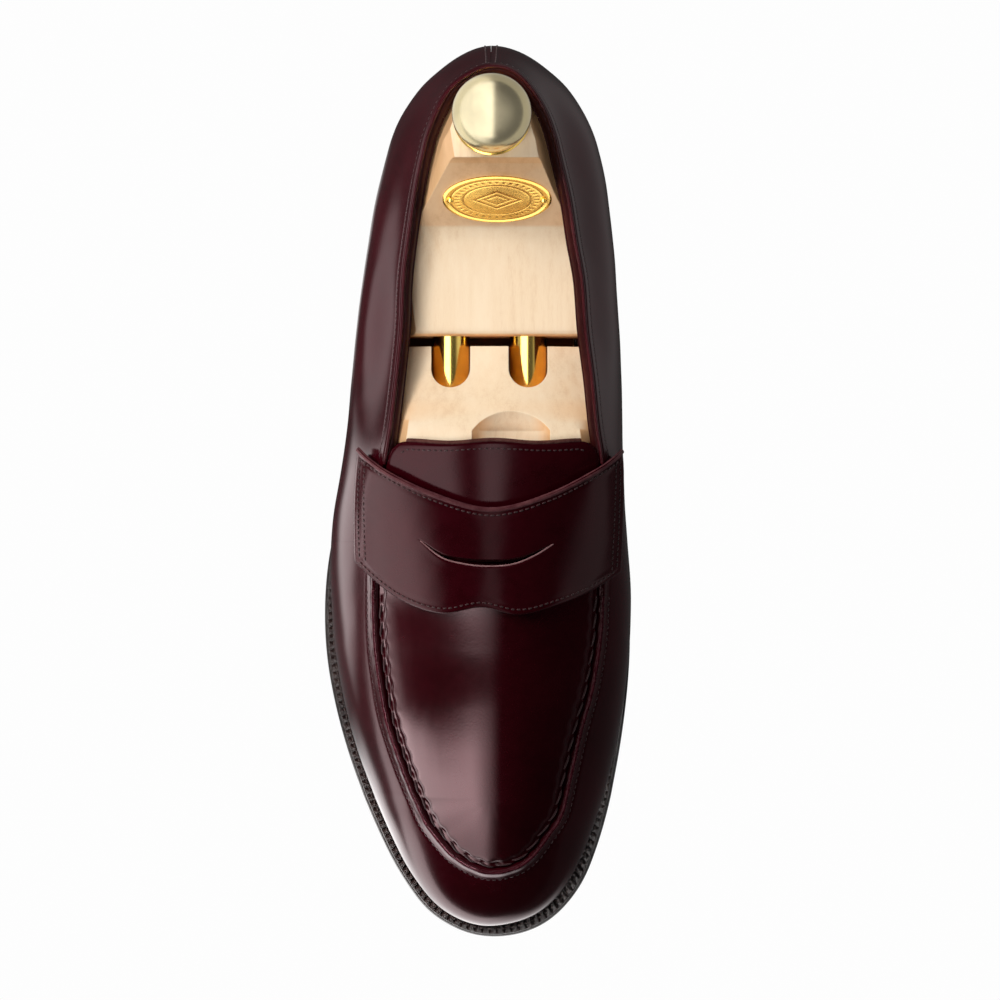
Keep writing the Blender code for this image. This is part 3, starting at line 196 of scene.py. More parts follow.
def wall0(u, v):
    """Outer surface of the upper's wall: v = 0 at the feather line, 1 at the top rail."""
    u, v = np.broadcast_arrays(np.asarray(u, float), np.asarray(v, float))
    rf, rb, rt = dist(T_FEATHER, u), dist(T_WIDE, u), dist(T_RAIL, u)
    zt = np.interp(np.mod(u, U_E), T_RAIL[:, 0], T_RAIL[:, 2])
    yf = at(u, rf)[1]
    zf, yb = z_feather(yf), at(u, rb)[1]
    zb = np.maximum(spline1(Z_WIDE, yb), zf + 6.0)
    th = np.radians(spline1(RAIL_ANGLE, at(u, rt)[1]))
    s = np.clip(v / 0.35, 0, 1)
    a, b = (rb - rf), (zb - zf)
    r1 = ((1-s)**3)*rf + 3*s*(1-s)**2*(rf + 0.55*a) + 3*s*s*(1-s)*rb + s**3*rb
    z1 = ((1-s)**3)*zf + 3*s*(1-s)**2*(zf + 0.25*b) + 3*s*s*(1-s)*(zb - 0.5*b) + s**3*zb
    q = (v - 0.35) / 0.65
    chord = np.hypot(rt - rb, zt - zb)
    p1z = zb + 0.42 * (zt - zb)
    p2r, p2z = rt + np.cos(th)*0.36*chord, zt - np.sin(th)*0.36*chord
    r2 = ((1-q)**3)*rb + 3*q*(1-q)**2*rb + 3*q*q*(1-q)*p2r + q**3*rt
    z2 = ((1-q)**3)*zb + 3*q*(1-q)**2*p1z + 3*q*q*(1-q)*p2z + q**3*zt
    low = v < 0.35
    r, z = np.where(low, r1, r2), np.where(low, z1, z2)
    x, y = at(u, r)
    return np.stack([x, y, z], -1)


def wall(u, v, d=0.0, lift=0.0):
    """Wall surface pushed inwards by d."""
    u, v = np.broadcast_arrays(np.asarray(u, float), np.asarray(v, float))
    du = wall0(u + 0.6, v) - wall0(u - 0.6, v)
    dv = wall0(u, v + 0.01) - wall0(u, v - 0.01)
    n = np.cross(dv, du)
    n /= np.linalg.norm(n, axis=-1, keepdims=True)
    c = wall0(u, v)
    ox, oy, dx, dy = ray(u)
    flip = np.sign(n[..., 0]*dx + n[..., 1]*dy)
    n = n * np.where(flip == 0, 1, flip)[..., None]
    return c - n * d + np.array([0, 0, lift])


def rail_x(y):
    """Rail x and z on both sides for a given y inside the straight part."""
    ul, um = U_A + (y - Y_TOE), U_C + (Y_HEEL - y)
    return (X_AXIS - dist(T_RAIL, ul), X_AXIS + dist(T_RAIL, um),
            np.interp(ul, T_RAIL[:, 0], T_RAIL[:, 2]), np.interp(um, T_RAIL[:, 0], T_RAIL[:, 2]))


P_CROWN = 2.2


def apron_z(x, y):
    x, y = np.broadcast_arrays(np.asarray(x, float), np.asarray(y, float))
    ys = np.maximum(y, Y_TOE)
    xl, xm, zl, zm = rail_x(ys)
    lat = x < X_AXIS
    rho = np.abs(x - X_AXIS) / np.where(lat, X_AXIS - xl, xm - X_AXIS)
    zc = spline1(CREST, ys)
    z1 = zc + (np.where(lat, zl, zm) - zc) * rho ** P_CROWN
    g = float((spline1(CREST, Y_TOE + 1) - spline1(CREST, Y_TOE - 1)) / 2)
    ze = float(spline1(CREST, Y_TOE))
    dx, dy = x - X_AXIS, np.minimum(y - Y_TOE, -1e-6)
    a = np.arctan2(-dx, -dy)
    ut = np.where(a >= 0, a * R_TOE, U_E + a * R_TOE)
    rt = dist(T_RAIL, ut)
    zt = np.interp(np.mod(ut, U_E), T_RAIL[:, 0], T_RAIL[:, 2])
    rr = np.hypot(dx, dy) / rt
    yt = Y_TOE + dy / np.maximum(np.hypot(dx, dy), 1e-9) * rt
    z2 = ze + g * dy + (zt - ze - g * (yt - Y_TOE)) * rr ** P_CROWN
    return np.where(y < Y_TOE, z2, z1)


def apron(x, y, d=0.0):
    """Crowned top surface pushed down along its normal by d."""
    x, y = np.broadcast_arrays(np.asarray(x, float), np.asarray(y, float))
    e = 0.8
    z = apron_z(x, y)
    fx = (apron_z(x + e, y) - apron_z(x - e, y)) / (2*e)
    fy = (apron_z(x, y + e) - apron_z(x, y - e)) / (2*e)
    n = np.stack([-fx, -fy, np.ones_like(fx)], -1)
    n /= np.linalg.norm(n, axis=-1, keepdims=True)
    return np.stack([x, y, z], -1) - n * d


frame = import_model()
SH = np.array(SHIFT)


# ================================================================ mesh helpers
def smooth(ob, angle=40.0):
    ob.data.shade_smooth()
    ob.data.set_sharp_from_angle(angle=math.radians(angle))


def piece(name, verts, faces, mat, body="shoe", slot=None, reps=(), angle=40.0, weld=2e-6):
    me = bpy.data.meshes.new(name)
    v = (np.asarray(verts, float) + SH) * MM
    me.from_pydata(v.tolist(), [], [list(f) for f in faces])
    bm = bmesh.new()
    bm.from_mesh(me)
    if weld:
        bmesh.ops.remove_doubles(bm, verts=bm.verts, dist=weld)
        bmesh.ops.dissolve_degenerate(bm, edges=bm.edges, dist=1e-7)
    bmesh.ops.recalc_face_normals(bm, faces=bm.faces)
    if bm.calc_volume(signed=True) < 0:
        bmesh.ops.reverse_faces(bm, faces=bm.faces)
    bm.to_mesh(me)
    bm.free()
    ob = bpy.data.objects.new(name, me)
    bpy.context.scene.collection.objects.link(ob)
    me.materials.append(mat)
    smooth(ob, angle)
    if body:
        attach(ob, body)
    if reps:
        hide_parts(*reps)
    return ob


def shell_data(outer, inner, wrap=False, skip=None):
    nu, nv = outer.shape[:2]
    verts = np.vstack([outer.reshape(-1, 3), inner.reshape(-1, 3)])
    n = nu * nv
    key, rep = {}, []
    for i, p in enumerate(np.round(verts, 4).tolist()):
        rep.append(key.setdefault(tuple(p), i))
    faces, edges = [], {}

    def clean(q):
        g = []
        for t in q:
            if t not in g:
                g.append(t)
        return g

    for i in range(nu if wrap else nu - 1):
        i2 = (i + 1) % nu
        for j in range(nv - 1):
            if skip and skip(i, j):
                continue
            a = (i * nv + j, i2 * nv + j, i2 * nv + j + 1, i * nv + j + 1)
            q = clean([rep[t] for t in a])
            if len(q) < 3:
                continue
            faces.append(q)
            faces.append(clean([rep[t + n] for t in reversed(a)]))
            src, seen = [], []
            for s in a:
                if rep[s] not in seen:
                    seen.append(rep[s])
                    src.append(s)
            m = len(src)
            for k in range(m):
                e0, e1 = src[k], src[(k + 1) % m]
                r0, r1 = rep[e0], rep[e1]
                ky = (r0, r1) if r0 < r1 else (r1, r0)
                if ky in edges:
                    edges[ky] = None
                else:
                    edges[ky] = (e0, e1)
    for lst in edges.values():
        if lst:
            e0, e1 = lst
            g = clean([rep[e1], rep[e0], rep[e0 + n], rep[e1 + n]])
            if len(g) >= 3:
                faces.append(g)
    used = sorted({t for f in faces for t in f})
    m = {t: k for k, t in enumerate(used)}
    return verts[used], [[m[t] for t in f] for f in faces]


def tube_data(ring, closed=False):
    n, k = ring.shape[:2]
    f = []
    for i in range(n if closed else n - 1):
        a, b = i * k, ((i + 1) % n) * k
        for j in range(k):
            f.append((a + j, a + (j + 1) % k, b + (j + 1) % k, b + j))
    if not closed:
        f.append(tuple(range(k))[::-1])
        f.append(tuple((n - 1) * k + j for j in range(k)))
    return ring.reshape(-1, 3), f


def frames(path, up, closed=False):
    p, up = np.asarray(path, float), np.asarray(up, float)
    t = np.roll(p, -1, 0) - np.roll(p, 1, 0)
    if not closed:
        t[0], t[-1] = p[1] - p[0], p[-1] - p[-2]
    t /= np.linalg.norm(t, axis=1, keepdims=True)
    s = np.cross(t, up)
    s /= np.linalg.norm(s, axis=1, keepdims=True)
    return p, t, s, np.cross(s, t)


def cord_data(path, up, w, h, closed=False, sides=8, lift=0.0):
    p, t, s, o = frames(path, up, closed)
    ring = np.stack([p + s * math.cos(a) * w / 2 + o * (math.sin(a) * h / 2 + lift)
                     for a in np.arange(sides) * 2 * math.pi / sides], 1)
    return tube_data(ring, closed)


def merge(parts):
    vs, fs, off = [], [], 0
    for v, f in parts:
        vs.append(v)
        fs += [tuple(t + off for t in q) for q in f]
        off += len(v)
    return np.vstack(vs), fs


def resample(path, extra, step, closed=False):
    """Even arc-length samples of a path and of the vectors carried with it."""
    p = np.asarray(path, float)
    e = np.asarray(extra, float)
    if closed:
        p, e = np.vstack([p, p[:1]]), np.vstack([e, e[:1]])
    s = np.concatenate([[0], np.cumsum(np.linalg.norm(np.diff(p, axis=0), axis=1))])
    n = max(2, int(round(s[-1] / step)))
    q = np.linspace(0, s[-1], n + 1)[: n if closed else n + 1]
    f = lambda a: np.stack([np.interp(q, s, a[:, c]) for c in range(3)], -1)
    g = f(e)
    return f(p), g / np.linalg.norm(g, axis=1, keepdims=True), s[-1]


def stitches(path, up, pitch, length, r, rise=0.15, sink=0.3, sides=6, closed=False, skew=0.0):
    """Separate thread stitches along a path: each dives into the leather at both ends."""
    p, n, total = resample(path, up, pitch / 8.0, closed)
    s = np.linspace(0, total, len(p) + (1 if closed else 0))[: len(p)]
    out = []
    count = int(total / pitch)
    for k in range(count):
        c = (k + 0.5) * pitch
        q = c + np.linspace(-0.5, 0.5, 7) * length
        pp = np.stack([np.interp(q, s, p[:, a]) for a in range(3)], -1)
        nn = np.stack([np.interp(q, s, n[:, a]) for a in range(3)], -1)
        h = np.array([-sink, rise * 0.55, rise, rise * 1.05, rise, rise * 0.55, -sink])
        rr = r * np.array([0.55, 0.9, 1.0, 1.0, 1.0, 0.9, 0.55])
        tt = np.gradient(pp, axis=0)
        tt /= np.linalg.norm(tt, axis=1, keepdims=True)
        ss = np.cross(tt, nn)
        ss /= np.linalg.norm(ss, axis=1, keepdims=True)
        pp = pp + nn * h[:, None] + ss * (np.linspace(-0.5, 0.5, 7) * skew)[:, None]
        ring = np.stack([pp + ss * (math.cos(a) * rr)[:, None] + nn * (math.sin(a) * rr * 0.8)[:, None]
                         for a in np.arange(sides) * 2 * math.pi / sides], 1)
        out.append(tube_data(ring))
    return merge(out)


def lathe_data(prof, origin, axis="z", seg=96):
    v = []
    ang = np.arange(seg) * 2 * math.pi / seg
    for r, z in prof:
        c, s = r * np.cos(ang), r * np.sin(ang)
        h = np.full(seg, float(z))
        v.append(np.stack([c, s, h] if axis == "z" else [c, h, s], -1))
    n = len(prof)
    ring_closed = prof[0][0] > 0 and prof[-1][0] > 0
    f = []
    for i in range(n if ring_closed else n - 1):
        a, b = i * seg, ((i + 1) % n) * seg
        for k in range(seg):
            f.append((a + k, a + (k + 1) % seg, b + (k + 1) % seg, b + k))
    return np.vstack(v) + np.array(origin), f


def boolean(ob, cutters):
    for v, f in cutters:
        me = bpy.data.meshes.new("cutter")
        me.from_pydata(((np.asarray(v) + SH) * MM).tolist(), [], [list(q) for q in f])
        bm = bmesh.new()
        bm.from_mesh(me)
        bmesh.ops.remove_doubles(bm, verts=bm.verts, dist=1e-7)
        bmesh.ops.recalc_face_normals(bm, faces=bm.faces)
        bm.to_mesh(me)
        bm.free()
        c = bpy.data.objects.new("cutter", me)
        bpy.context.scene.collection.objects.link(c)
        m = ob.modifiers.new("cut", "BOOLEAN")
        m.operation, m.object, m.solver = "DIFFERENCE", c, "EXACT"
        dg = bpy.context.evaluated_depsgraph_get()
        new = bpy.data.meshes.new_from_object(ob.evaluated_get(dg))
        ob.modifiers.clear()
        ob.data = new
        bpy.data.objects.remove(c, do_unlink=True)


def prism_data(pts, a0, a1, axis="x"):
    n = len(pts)
    g = (lambda p, t: (t, p[0], p[1])) if axis == "x" else (lambda p, t: (p[0], p[1], t))
    return (np.array([g(p, a0) for p in pts] + [g(p, a1) for p in pts], float),
            [tuple(range(n))[::-1], tuple(range(n, 2 * n))] + [(i, (i + 1) % n, n + (i + 1) % n, n + i) for i in range(n)])


# ================================================================ materials
def new_mat(name):
    m = bpy.data.materials.new(name)
    m.use_nodes = True
    nt = m.node_tree
    for n in list(nt.nodes):
        nt.nodes.remove(n)
    out = nt.nodes.new("ShaderNodeOutputMaterial")
    bs = nt.nodes.new("ShaderNodeBsdfPrincipled")
    nt.links.new(bs.outputs[0], out.inputs[0])
    return m, nt, bs


def node(nt, kind, **kw):
    n = nt.nodes.new(kind)
    for k, v in kw.items():
        if k in n.inputs.keys():
            n.inputs[k].default_value = v
        else:
            setattr(n, k, v)
    return n


def coords(nt, scale=(1, 1, 1)):
    tc = nt.nodes.new("ShaderNodeTexCoord")
    mp = nt.nodes.new("ShaderNodeMapping")
    mp.inputs["Scale"].default_value = scale
    nt.links.new(tc.outputs["Object"], mp.inputs[0])
    return mp.outputs[0]


def ramp(nt, fac, stops):
    r = nt.nodes.new("ShaderNodeValToRGB")
    e = r.color_ramp.elements
    e[0].position, e[0].color = stops[0][0], (*stops[0][1], 1)
    e[1].position, e[1].color = stops[-1][0], (*stops[-1][1], 1)
    for p, c in stops[1:-1]:
        x = e.new(p)
        x.color = (*c, 1)
    nt.links.new(fac, r.inputs[0])
    return r.outputs[0]


def leather(name, dark, mid, light, rough=0.26, coat=0.5, coat_rough=0.14, grain=0.12, grain_scale=1400.0, mottling=60.0, spec=0.5, tint=(1, 0.62, 0.66)):
    m, nt, bs = new_mat(name)
    co = coords(nt)
    n1 = node(nt, "ShaderNodeTexNoise", Scale=mottling, Detail=4.0, Roughness=0.6)
    n2 = node(nt, "ShaderNodeTexNoise", Scale=mottling * 9, Detail=3.0, Roughness=0.6)
    nt.links.new(co, n1.inputs["Vector"])
    nt.links.new(co, n2.inputs["Vector"])
    mx = node(nt, "ShaderNodeMath", operation="ADD")
    mm = node(nt, "ShaderNodeMath", operation="MULTIPLY")
    mm.inputs[1].default_value = 0.35
    nt.links.new(n2.outputs[0], mm.inputs[0])
    nt.links.new(n1.outputs[0], mx.inputs[0])
    nt.links.new(mm.outputs[0], mx.inputs[1])
    nt.links.new(ramp(nt, mx.outputs[0], [(0.42, dark), (0.66, mid), (0.95, light)]), bs.inputs["Base Color"])
    rr = node(nt, "ShaderNodeMapRange")
    rr.inputs["To Min"].default_value, rr.inputs["To Max"].default_value = rough * 0.85, rough * 1.2
    nt.links.new(n2.outputs[0], rr.inputs["Value"])
    nt.links.new(rr.outputs[0], bs.inputs["Roughness"])
    bs.inputs["Coat Weight"].default_value = coat
    bs.inputs["Coat Roughness"].default_value = coat_rough
    bs.inputs["Specular IOR Level"].default_value = spec
    bs.inputs["Specular Tint"].default_value = (*tint, 1)
    vo = node(nt, "ShaderNodeTexVoronoi", Scale=grain_scale)
    vo.feature = "SMOOTH_F1"
    nt.links.new(co, vo.inputs["Vector"])
    n3 = node(nt, "ShaderNodeTexNoise", Scale=grain_scale * 0.16, Detail=4.0)
    nt.links.new(co, n3.inputs["Vector"])
    ad = node(nt, "ShaderNodeMath", operation="ADD")
    nt.links.new(vo.outputs[0], ad.inputs[0])
    nt.links.new(n3.outputs[0], ad.inputs[1])
    bp = node(nt, "ShaderNodeBump", Strength=grain, Distance=0.0002)
    nt.links.new(ad.outputs[0], bp.inputs["Height"])
    nt.links.new(bp.outputs[0], bs.inputs["Normal"])
    nt.links.new(bp.outputs[0], bs.inputs["Coat Normal"])
    return m


def wood(name, base, late, dark, rough=0.42, bevel=0.0007):
    m, nt, bs = new_mat(name)
    co = coords(nt, (1.0, 0.055, 1.0))
    broad = node(nt, "ShaderNodeTexNoise", Scale=60.0, Detail=2.0, Roughness=0.5)
    nt.links.new(co, broad.inputs["Vector"])
    streak = node(nt, "ShaderNodeTexNoise", Scale=420.0, Detail=4.0, Roughness=0.6)
    nt.links.new(co, streak.inputs["Vector"])
    fleck = node(nt, "ShaderNodeTexNoise", Scale=2600.0, Detail=2.0, Roughness=0.5)
    nt.links.new(coords(nt, (1.0, 0.16, 1.0)), fleck.inputs["Vector"])
    acc = None
    for n, w in ((broad, 0.5), (streak, 0.35), (fleck, 0.15)):
        mu = node(nt, "ShaderNodeMath", operation="MULTIPLY")
        mu.inputs[1].default_value = w
        nt.links.new(n.outputs[0], mu.inputs[0])
        if acc is None:
            acc = mu.outputs[0]
        else:
            ad = node(nt, "ShaderNodeMath", operation="ADD")
            nt.links.new(acc, ad.inputs[0])
            nt.links.new(mu.outputs[0], ad.inputs[1])
            acc = ad.outputs[0]
    # painted shade: faces tilted away from straight up get a warmer, darker wood colour, standing in for shade and warm
    # bounce light on slopes
    ge = nt.nodes.new("ShaderNodeNewGeometry")
    sp = nt.nodes.new("ShaderNodeSeparateXYZ")
    nt.links.new(ge.outputs["Normal"], sp.inputs[0])
    tilt_shade_amount = node(nt, "ShaderNodeMapRange")
    for k, t in (("From Min", 0.79), ("From Max", 0.62), ("To Min", 0.0), ("To Max", 1.0)):
        tilt_shade_amount.inputs[k].default_value = t
    nt.links.new(sp.outputs[2], tilt_shade_amount.inputs["Value"])
    slope_shade_mix = node(nt, "ShaderNodeMix", data_type="RGBA", blend_type="MULTIPLY")
    nt.links.new(tilt_shade_amount.outputs[0], slope_shade_mix.inputs[0])
    nt.links.new(ramp(nt, acc, [(0.36, dark), (0.47, late), (0.60, base)]), slope_shade_mix.inputs[6])
    slope_shade_mix.inputs[7].default_value = (1.0, 0.75, 0.53, 1)
    nt.links.new(slope_shade_mix.outputs[2], bs.inputs["Base Color"])
    bs.inputs["Roughness"].default_value = rough
    bs.inputs["Coat Weight"].default_value = 0.10
    bs.inputs["Coat Roughness"].default_value = 0.35
    bp = node(nt, "ShaderNodeBump", Strength=0.06, Distance=0.0002)
    nt.links.new(streak.outputs[0], bp.inputs["Height"])
    bv = node(nt, "ShaderNodeBevel", Radius=bevel)
    bv.samples = 8
    nt.links.new(bv.outputs[0], bp.inputs["Normal"])
    nt.links.new(bp.outputs[0], bs.inputs["Normal"])
    return m


def metal(name, colour, rough=0.16, brushed=None, bump=0.02, bevel=0.0003, scale=900.0, patina_and_shade=None):
    m, nt, bs = new_mat(name)
    bs.inputs["Metallic"].default_value = 1.0
    co = coords(nt, brushed or (1, 1, 1))
    n1 = node(nt, "ShaderNodeTexNoise", Scale=scale, Detail=4.0, Roughness=0.6)
    nt.links.new(co, n1.inputs["Vector"])
    n2 = node(nt, "ShaderNodeTexNoise", Scale=70.0, Detail=3.0)
    nt.links.new(coords(nt), n2.inputs["Vector"])
    a = tuple(c * 0.86 for c in colour)
    b = tuple(min(1.0, c * 1.06) for c in colour)
    col = ramp(nt, n2.outputs[0], [(0.35, a), (0.65, b)])
    # patina colour in the engraved hollows; on the plate the same attribute also lays a painted shade patch
    if patina_and_shade:
        pa_ = nt.nodes.new("ShaderNodeAttribute")
        pa_.attribute_name = "engrave_and_shade"
        mx = node(nt, "ShaderNodeMix", data_type="RGBA")
        nt.links.new(pa_.outputs["Fac"], mx.inputs[0])
        nt.links.new(col, mx.inputs[6])
        mx.inputs[7].default_value = (*patina_and_shade, 1)
        col = mx.outputs[2]
    nt.links.new(col, bs.inputs["Base Color"])
    rr = node(nt, "ShaderNodeMapRange")
    rr.inputs["To Min"].default_value, rr.inputs["To Max"].default_value = rough * 0.75, rough * 1.3
    nt.links.new(n1.outputs[0], rr.inputs["Value"])
    nt.links.new(rr.outputs[0], bs.inputs["Roughness"])
    bp = node(nt, "ShaderNodeBump", Strength=bump, Distance=0.0002)
    nt.links.new(n1.outputs[0], bp.inputs["Height"])
    if bevel:
        bv = node(nt, "ShaderNodeBevel", Radius=bevel)
        bv.samples = 4
        nt.links.new(bv.outputs[0], bp.inputs["Normal"])
    nt.links.new(bp.outputs[0], bs.inputs["Normal"])
    return m


def thread_mat(name, a, b, rough=0.5):
    m, nt, bs = new_mat(name)
    co = coords(nt)
    wv = node(nt, "ShaderNodeTexWave", Scale=1100.0, Distortion=1.0)
    wv.bands_direction = "DIAGONAL"
    nt.links.new(co, wv.inputs["Vector"])
    nt.links.new(ramp(nt, wv.outputs["Fac"], [(0.2, a), (0.8, b)]), bs.inputs["Base Color"])
    bs.inputs["Roughness"].default_value = rough
    bs.inputs["Sheen Weight"].default_value = 0.3
    bp = node(nt, "ShaderNodeBump", Strength=0.5, Distance=0.0001)
    nt.links.new(wv.outputs["Fac"], bp.inputs["Height"])
    nt.links.new(bp.outputs[0], bs.inputs["Normal"])
    return m


def plain(name, a, b, rough=0.6, scale=400.0, bump=0.3, coat=0.0):
    m, nt, bs = new_mat(name)
    co = coords(nt)
    n1 = node(nt, "ShaderNodeTexNoise", Scale=scale, Detail=6.0, Roughness=0.65)
    nt.links.new(co, n1.inputs["Vector"])
    nt.links.new(ramp(nt, n1.outputs[0], [(0.35, a), (0.68, b)]), bs.inputs["Base Color"])
    bs.inputs["Roughness"].default_value = rough
    bs.inputs["Coat Weight"].default_value = coat
    bp = node(nt, "ShaderNodeBump", Strength=bump, Distance=0.0003)
    nt.links.new(n1.outputs[0], bp.inputs["Height"])
    nt.links.new(bp.outputs[0], bs.inputs["Normal"])
    return m


M_UPPER = leather("calf_burgundy", (0.023, 0.0005, 0.0021), (0.035, 0.0009, 0.0036), (0.047, 0.0016, 0.0053), rough=0.17, coat=0.12, coat_rough=0.13, grain=0.022, mottling=38.0)
M_APRON = leather("calf_burgundy_apron", (0.020, 0.0006, 0.0019), (0.031, 0.0010, 0.0033), (0.042, 0.0016, 0.0049), rough=0.125, coat=0.12, coat_rough=0.11, grain=0.022, mottling=38.0)
M_EDGE = leather("raw_edge_burgundy", (0.06, 0.014, 0.018), (0.11, 0.034, 0.040), (0.17, 0.065, 0.068), rough=0.5, coat=0.1, grain=0.4, grain_scale=3000, mottling=300)
# lighter burgundy cord colour laid on the moccasin ridge: a painted highlight along its crest
M_RIDGE_HIGHLIGHT = leather("ridge_crest", (0.030, 0.0016, 0.0045), (0.050, 0.004, 0.009), (0.085, 0.010, 0.018), rough=0.27, coat=0.1, grain=0.05, tint=(1, 0.50, 0.58))
# slot lip: much lighter pink than the strap's raw edge, partly raw edge and partly a painted highlight along the slot's
# lower lip
M_SLOT_LIP_HIGHLIGHT = leather("slot_lip_raw_edge_and_highlight", (0.22, 0.10, 0.105), (0.34, 0.18, 0.185), (0.46, 0.27, 0.275), rough=0.4, coat=0.1, grain=0.3, grain_scale=3000, mottling=300)
M_FUZZ = leather("raw_edge_brown", (0.05, 0.016, 0.014), (0.10, 0.036, 0.03), (0.17, 0.075, 0.06), rough=0.85, coat=0.0, grain=0.8, grain_scale=3000, mottling=400)
M_BEAD = leather("bead_burgundy", (0.040, 0.003, 0.006), (0.060, 0.006, 0.010), (0.085, 0.010, 0.015), rough=0.22, coat=0.5, grain=0.04)
M_LINING = leather("lining_dark", (0.022, 0.003, 0.003), (0.035, 0.005, 0.005), (0.055, 0.009, 0.008), rough=0.45, coat=0.0, grain=0.2)
M_TAN = leather("lining_tan", (0.20, 0.09, 0.045), (0.27, 0.13, 0.07), (0.33, 0.17, 0.1), rough=0.55, coat=0.0, grain=0.3)
M_SOLE = leather("sole_edge_dark", (0.010, 0.005, 0.005), (0.018, 0.010, 0.009), (0.03, 0.017, 0.015), rough=0.30, coat=0.4, grain=0.3, grain_scale=900, tint=(1, 1, 1))
M_WELT = leather("welt_dark", (0.014, 0.007, 0.007), (0.026, 0.013, 0.012), (0.045, 0.025, 0.022), rough=0.36, coat=0.25, grain=0.4, grain_scale=1600, tint=(1, 1, 1))
M_STACK = leather("heel_stack", (0.012, 0.005, 0.005), (0.024, 0.011, 0.010), (0.038, 0.018, 0.015), rough=0.3, coat=0.35, grain=0.3, grain_scale=700, tint=(1, 1, 1))
M_RUBBER = plain("heel_rubber", (0.010, 0.010, 0.011), (0.018, 0.018, 0.019), 0.7, 900, 0.4)
M_THREAD = thread_mat("thread_burgundy", (0.030, 0.008, 0.010), (0.085, 0.032, 0.036))
M_THREAD_FINE = thread_mat("thread_fine", (0.035, 0.010, 0.012), (0.075, 0.030, 0.032))
M_THREAD_WELT = thread_mat("thread_welt", (0.03, 0.015, 0.013), (0.07, 0.04, 0.035))
M_WOOD = wood("beech", (0.92, 0.755, 0.555), (0.885, 0.705, 0.50), (0.80, 0.60, 0.40))
M_BRASS = metal("brass_polished", (0.86, 0.60, 0.15), 0.15, (1, 0.02, 1))
M_KNOB = metal("brass_pale", (0.85, 0.74, 0.45), 0.22, (1, 1, 1), bump=0.008)
M_PLATE = metal("brass_plate", (0.84, 0.54, 0.14), 0.20, (1, 1, 1), bump=0.004, bevel=0.0001, patina_and_shade=(0.24, 0.11, 0.024))
M_STEEL = metal("spring_steel", (0.55, 0.56, 0.58), 0.25)
M_CORK = plain("cork", (0.25, 0.15, 0.07), (0.42, 0.28, 0.15), 0.9, 500, 0.8)
M_VEG = leather("veg_tan", (0.42, 0.26, 0.13), (0.52, 0.34, 0.19), (0.60, 0.42, 0.25), rough=0.6, coat=0.0, grain=0.3)
M_STIFF = plain("leatherboard", (0.30, 0.21, 0.12), (0.42, 0.31, 0.19), 0.85, 700, 0.4)

CAD_MATS = {"shank": M_STEEL, "insole": M_VEG, "sock_lining": M_TAN, "cork_filler": M_CORK, "toe_puff": M_STIFF, "heel_counter": M_STIFF,
            "spring_lateral": M_STEEL, "spring_medial": M_STEEL, "knob_screw": M_STEEL, "vamp_lining": M_TAN, "apron_lining": M_TAN,
            "tongue_lining": M_TAN, "strap_backer": M_LINING}
for nm, ob in frame["nodes"].items():
    ob.data.materials.clear()
    ob.data.materials.append(CAD_MATS.get(nm, M_UPPER))


# ================================================================ surface sampling
def u_lat(y):
    return U_A + (y - Y_TOE)


def u_med(y):
    return U_C + (Y_HEEL - y)


def even_us(u0, u1, step):
    """Loop coordinates from u0 to u1 with near-even spacing along the rail."""
    d = np.linspace(u0, u1, 1500)
    x, y = at(d, dist(T_RAIL, d))
    xf, yf = at(d, dist(T_FEATHER, d))
    seg = 0.6 * np.hypot(np.diff(x), np.diff(y)) + 0.4 * np.hypot(np.diff(xf), np.diff(yf))
    s = np.concatenate([[0], np.cumsum(seg)])
    n = max(2, int(round(s[-1] / step)))
    return np.interp(np.linspace(0, s[-1], n + 1), s, d)


def rail_len(us):
    x, y = at(us, dist(T_RAIL, us))
    return np.concatenate([[0], np.cumsum(np.hypot(np.diff(x), np.diff(y)))])


def v_for_s(us, s_cols):
    """For each u, the v at the given distances down the wall from the rail, and the wall's full length from rail to
    feather line.
    """
    vs = np.linspace(1.0, 0.0, 121)
    p = wall0(np.asarray(us)[:, None], vs[None, :])
    d = np.concatenate([np.zeros((len(us), 1)), np.cumsum(np.linalg.norm(np.diff(p, axis=1), axis=2), axis=1)], 1)
    return np.array([np.interp(s_cols, d[i], vs) for i in range(len(us))]), d[:, -1]


NEAR = np.array([0.0, 0.25, 0.5, 0.8, 1.1, 1.4, 1.7, 2.0, 2.3, 2.6, 3.0, 3.4, 3.8, 4.2, 4.6, 5.0, 5.6, 6.4])


def wall_cols(us, far=22, low_extra=(0.02, 0.06)):
    v, total = v_for_s(us, NEAR)
    last = v[:, -1:]
    t = np.linspace(0, 1, far + 1)[1:][None, :]
    rest = last * (1 - t)
    return np.concatenate([v, rest], 1)


def smoothstep(a, b, x):
    t = np.clip((x - a) / (b - a), 0, 1)
    return t * t * (3 - 2 * t)


def wave_noise(a, b, seed=0.0):
    """Small smooth pseudo-random field, the same every run."""
    return (np.sin(a * 0.31 + 1.7 + seed) * np.cos(b * 0.23 + 0.6 + seed * 2) + 0.6 * np.sin(a * 0.73 + b * 0.41 + seed * 3)
            + 0.4 * np.cos(a * 1.37 - b * 0.89 + seed)) / 2.0


# height added to the wall surface, s measured down from the rail
def ridge_profile(s):
    return (0.80 * np.exp(-(np.maximum(s - 0.85, 0.0) / 1.7) ** 2 - (np.minimum(s - 0.85, 0.0) / 1.1) ** 2)
            - 0.14 * np.exp(-((s - 4.35) / 0.32) ** 2))


def topline_profile(s):
    return (0.35 * (1 - smoothstep(2.6, 3.5, s)) - 0.18 * np.exp(-((s - 3.55) / 0.3) ** 2)) * smoothstep(-0.2, 0.8, s)


SIDE_SEAM, THROAT = -14.0, 18.0
STITCH_PITCH = 6.1


def front_share(us):
    """1 along the moccasin seam, 0 along the foot opening."""
    y = at(us, dist(T_RAIL, us))[1]
    return 1 - smoothstep(-10.0, 12.0, y)


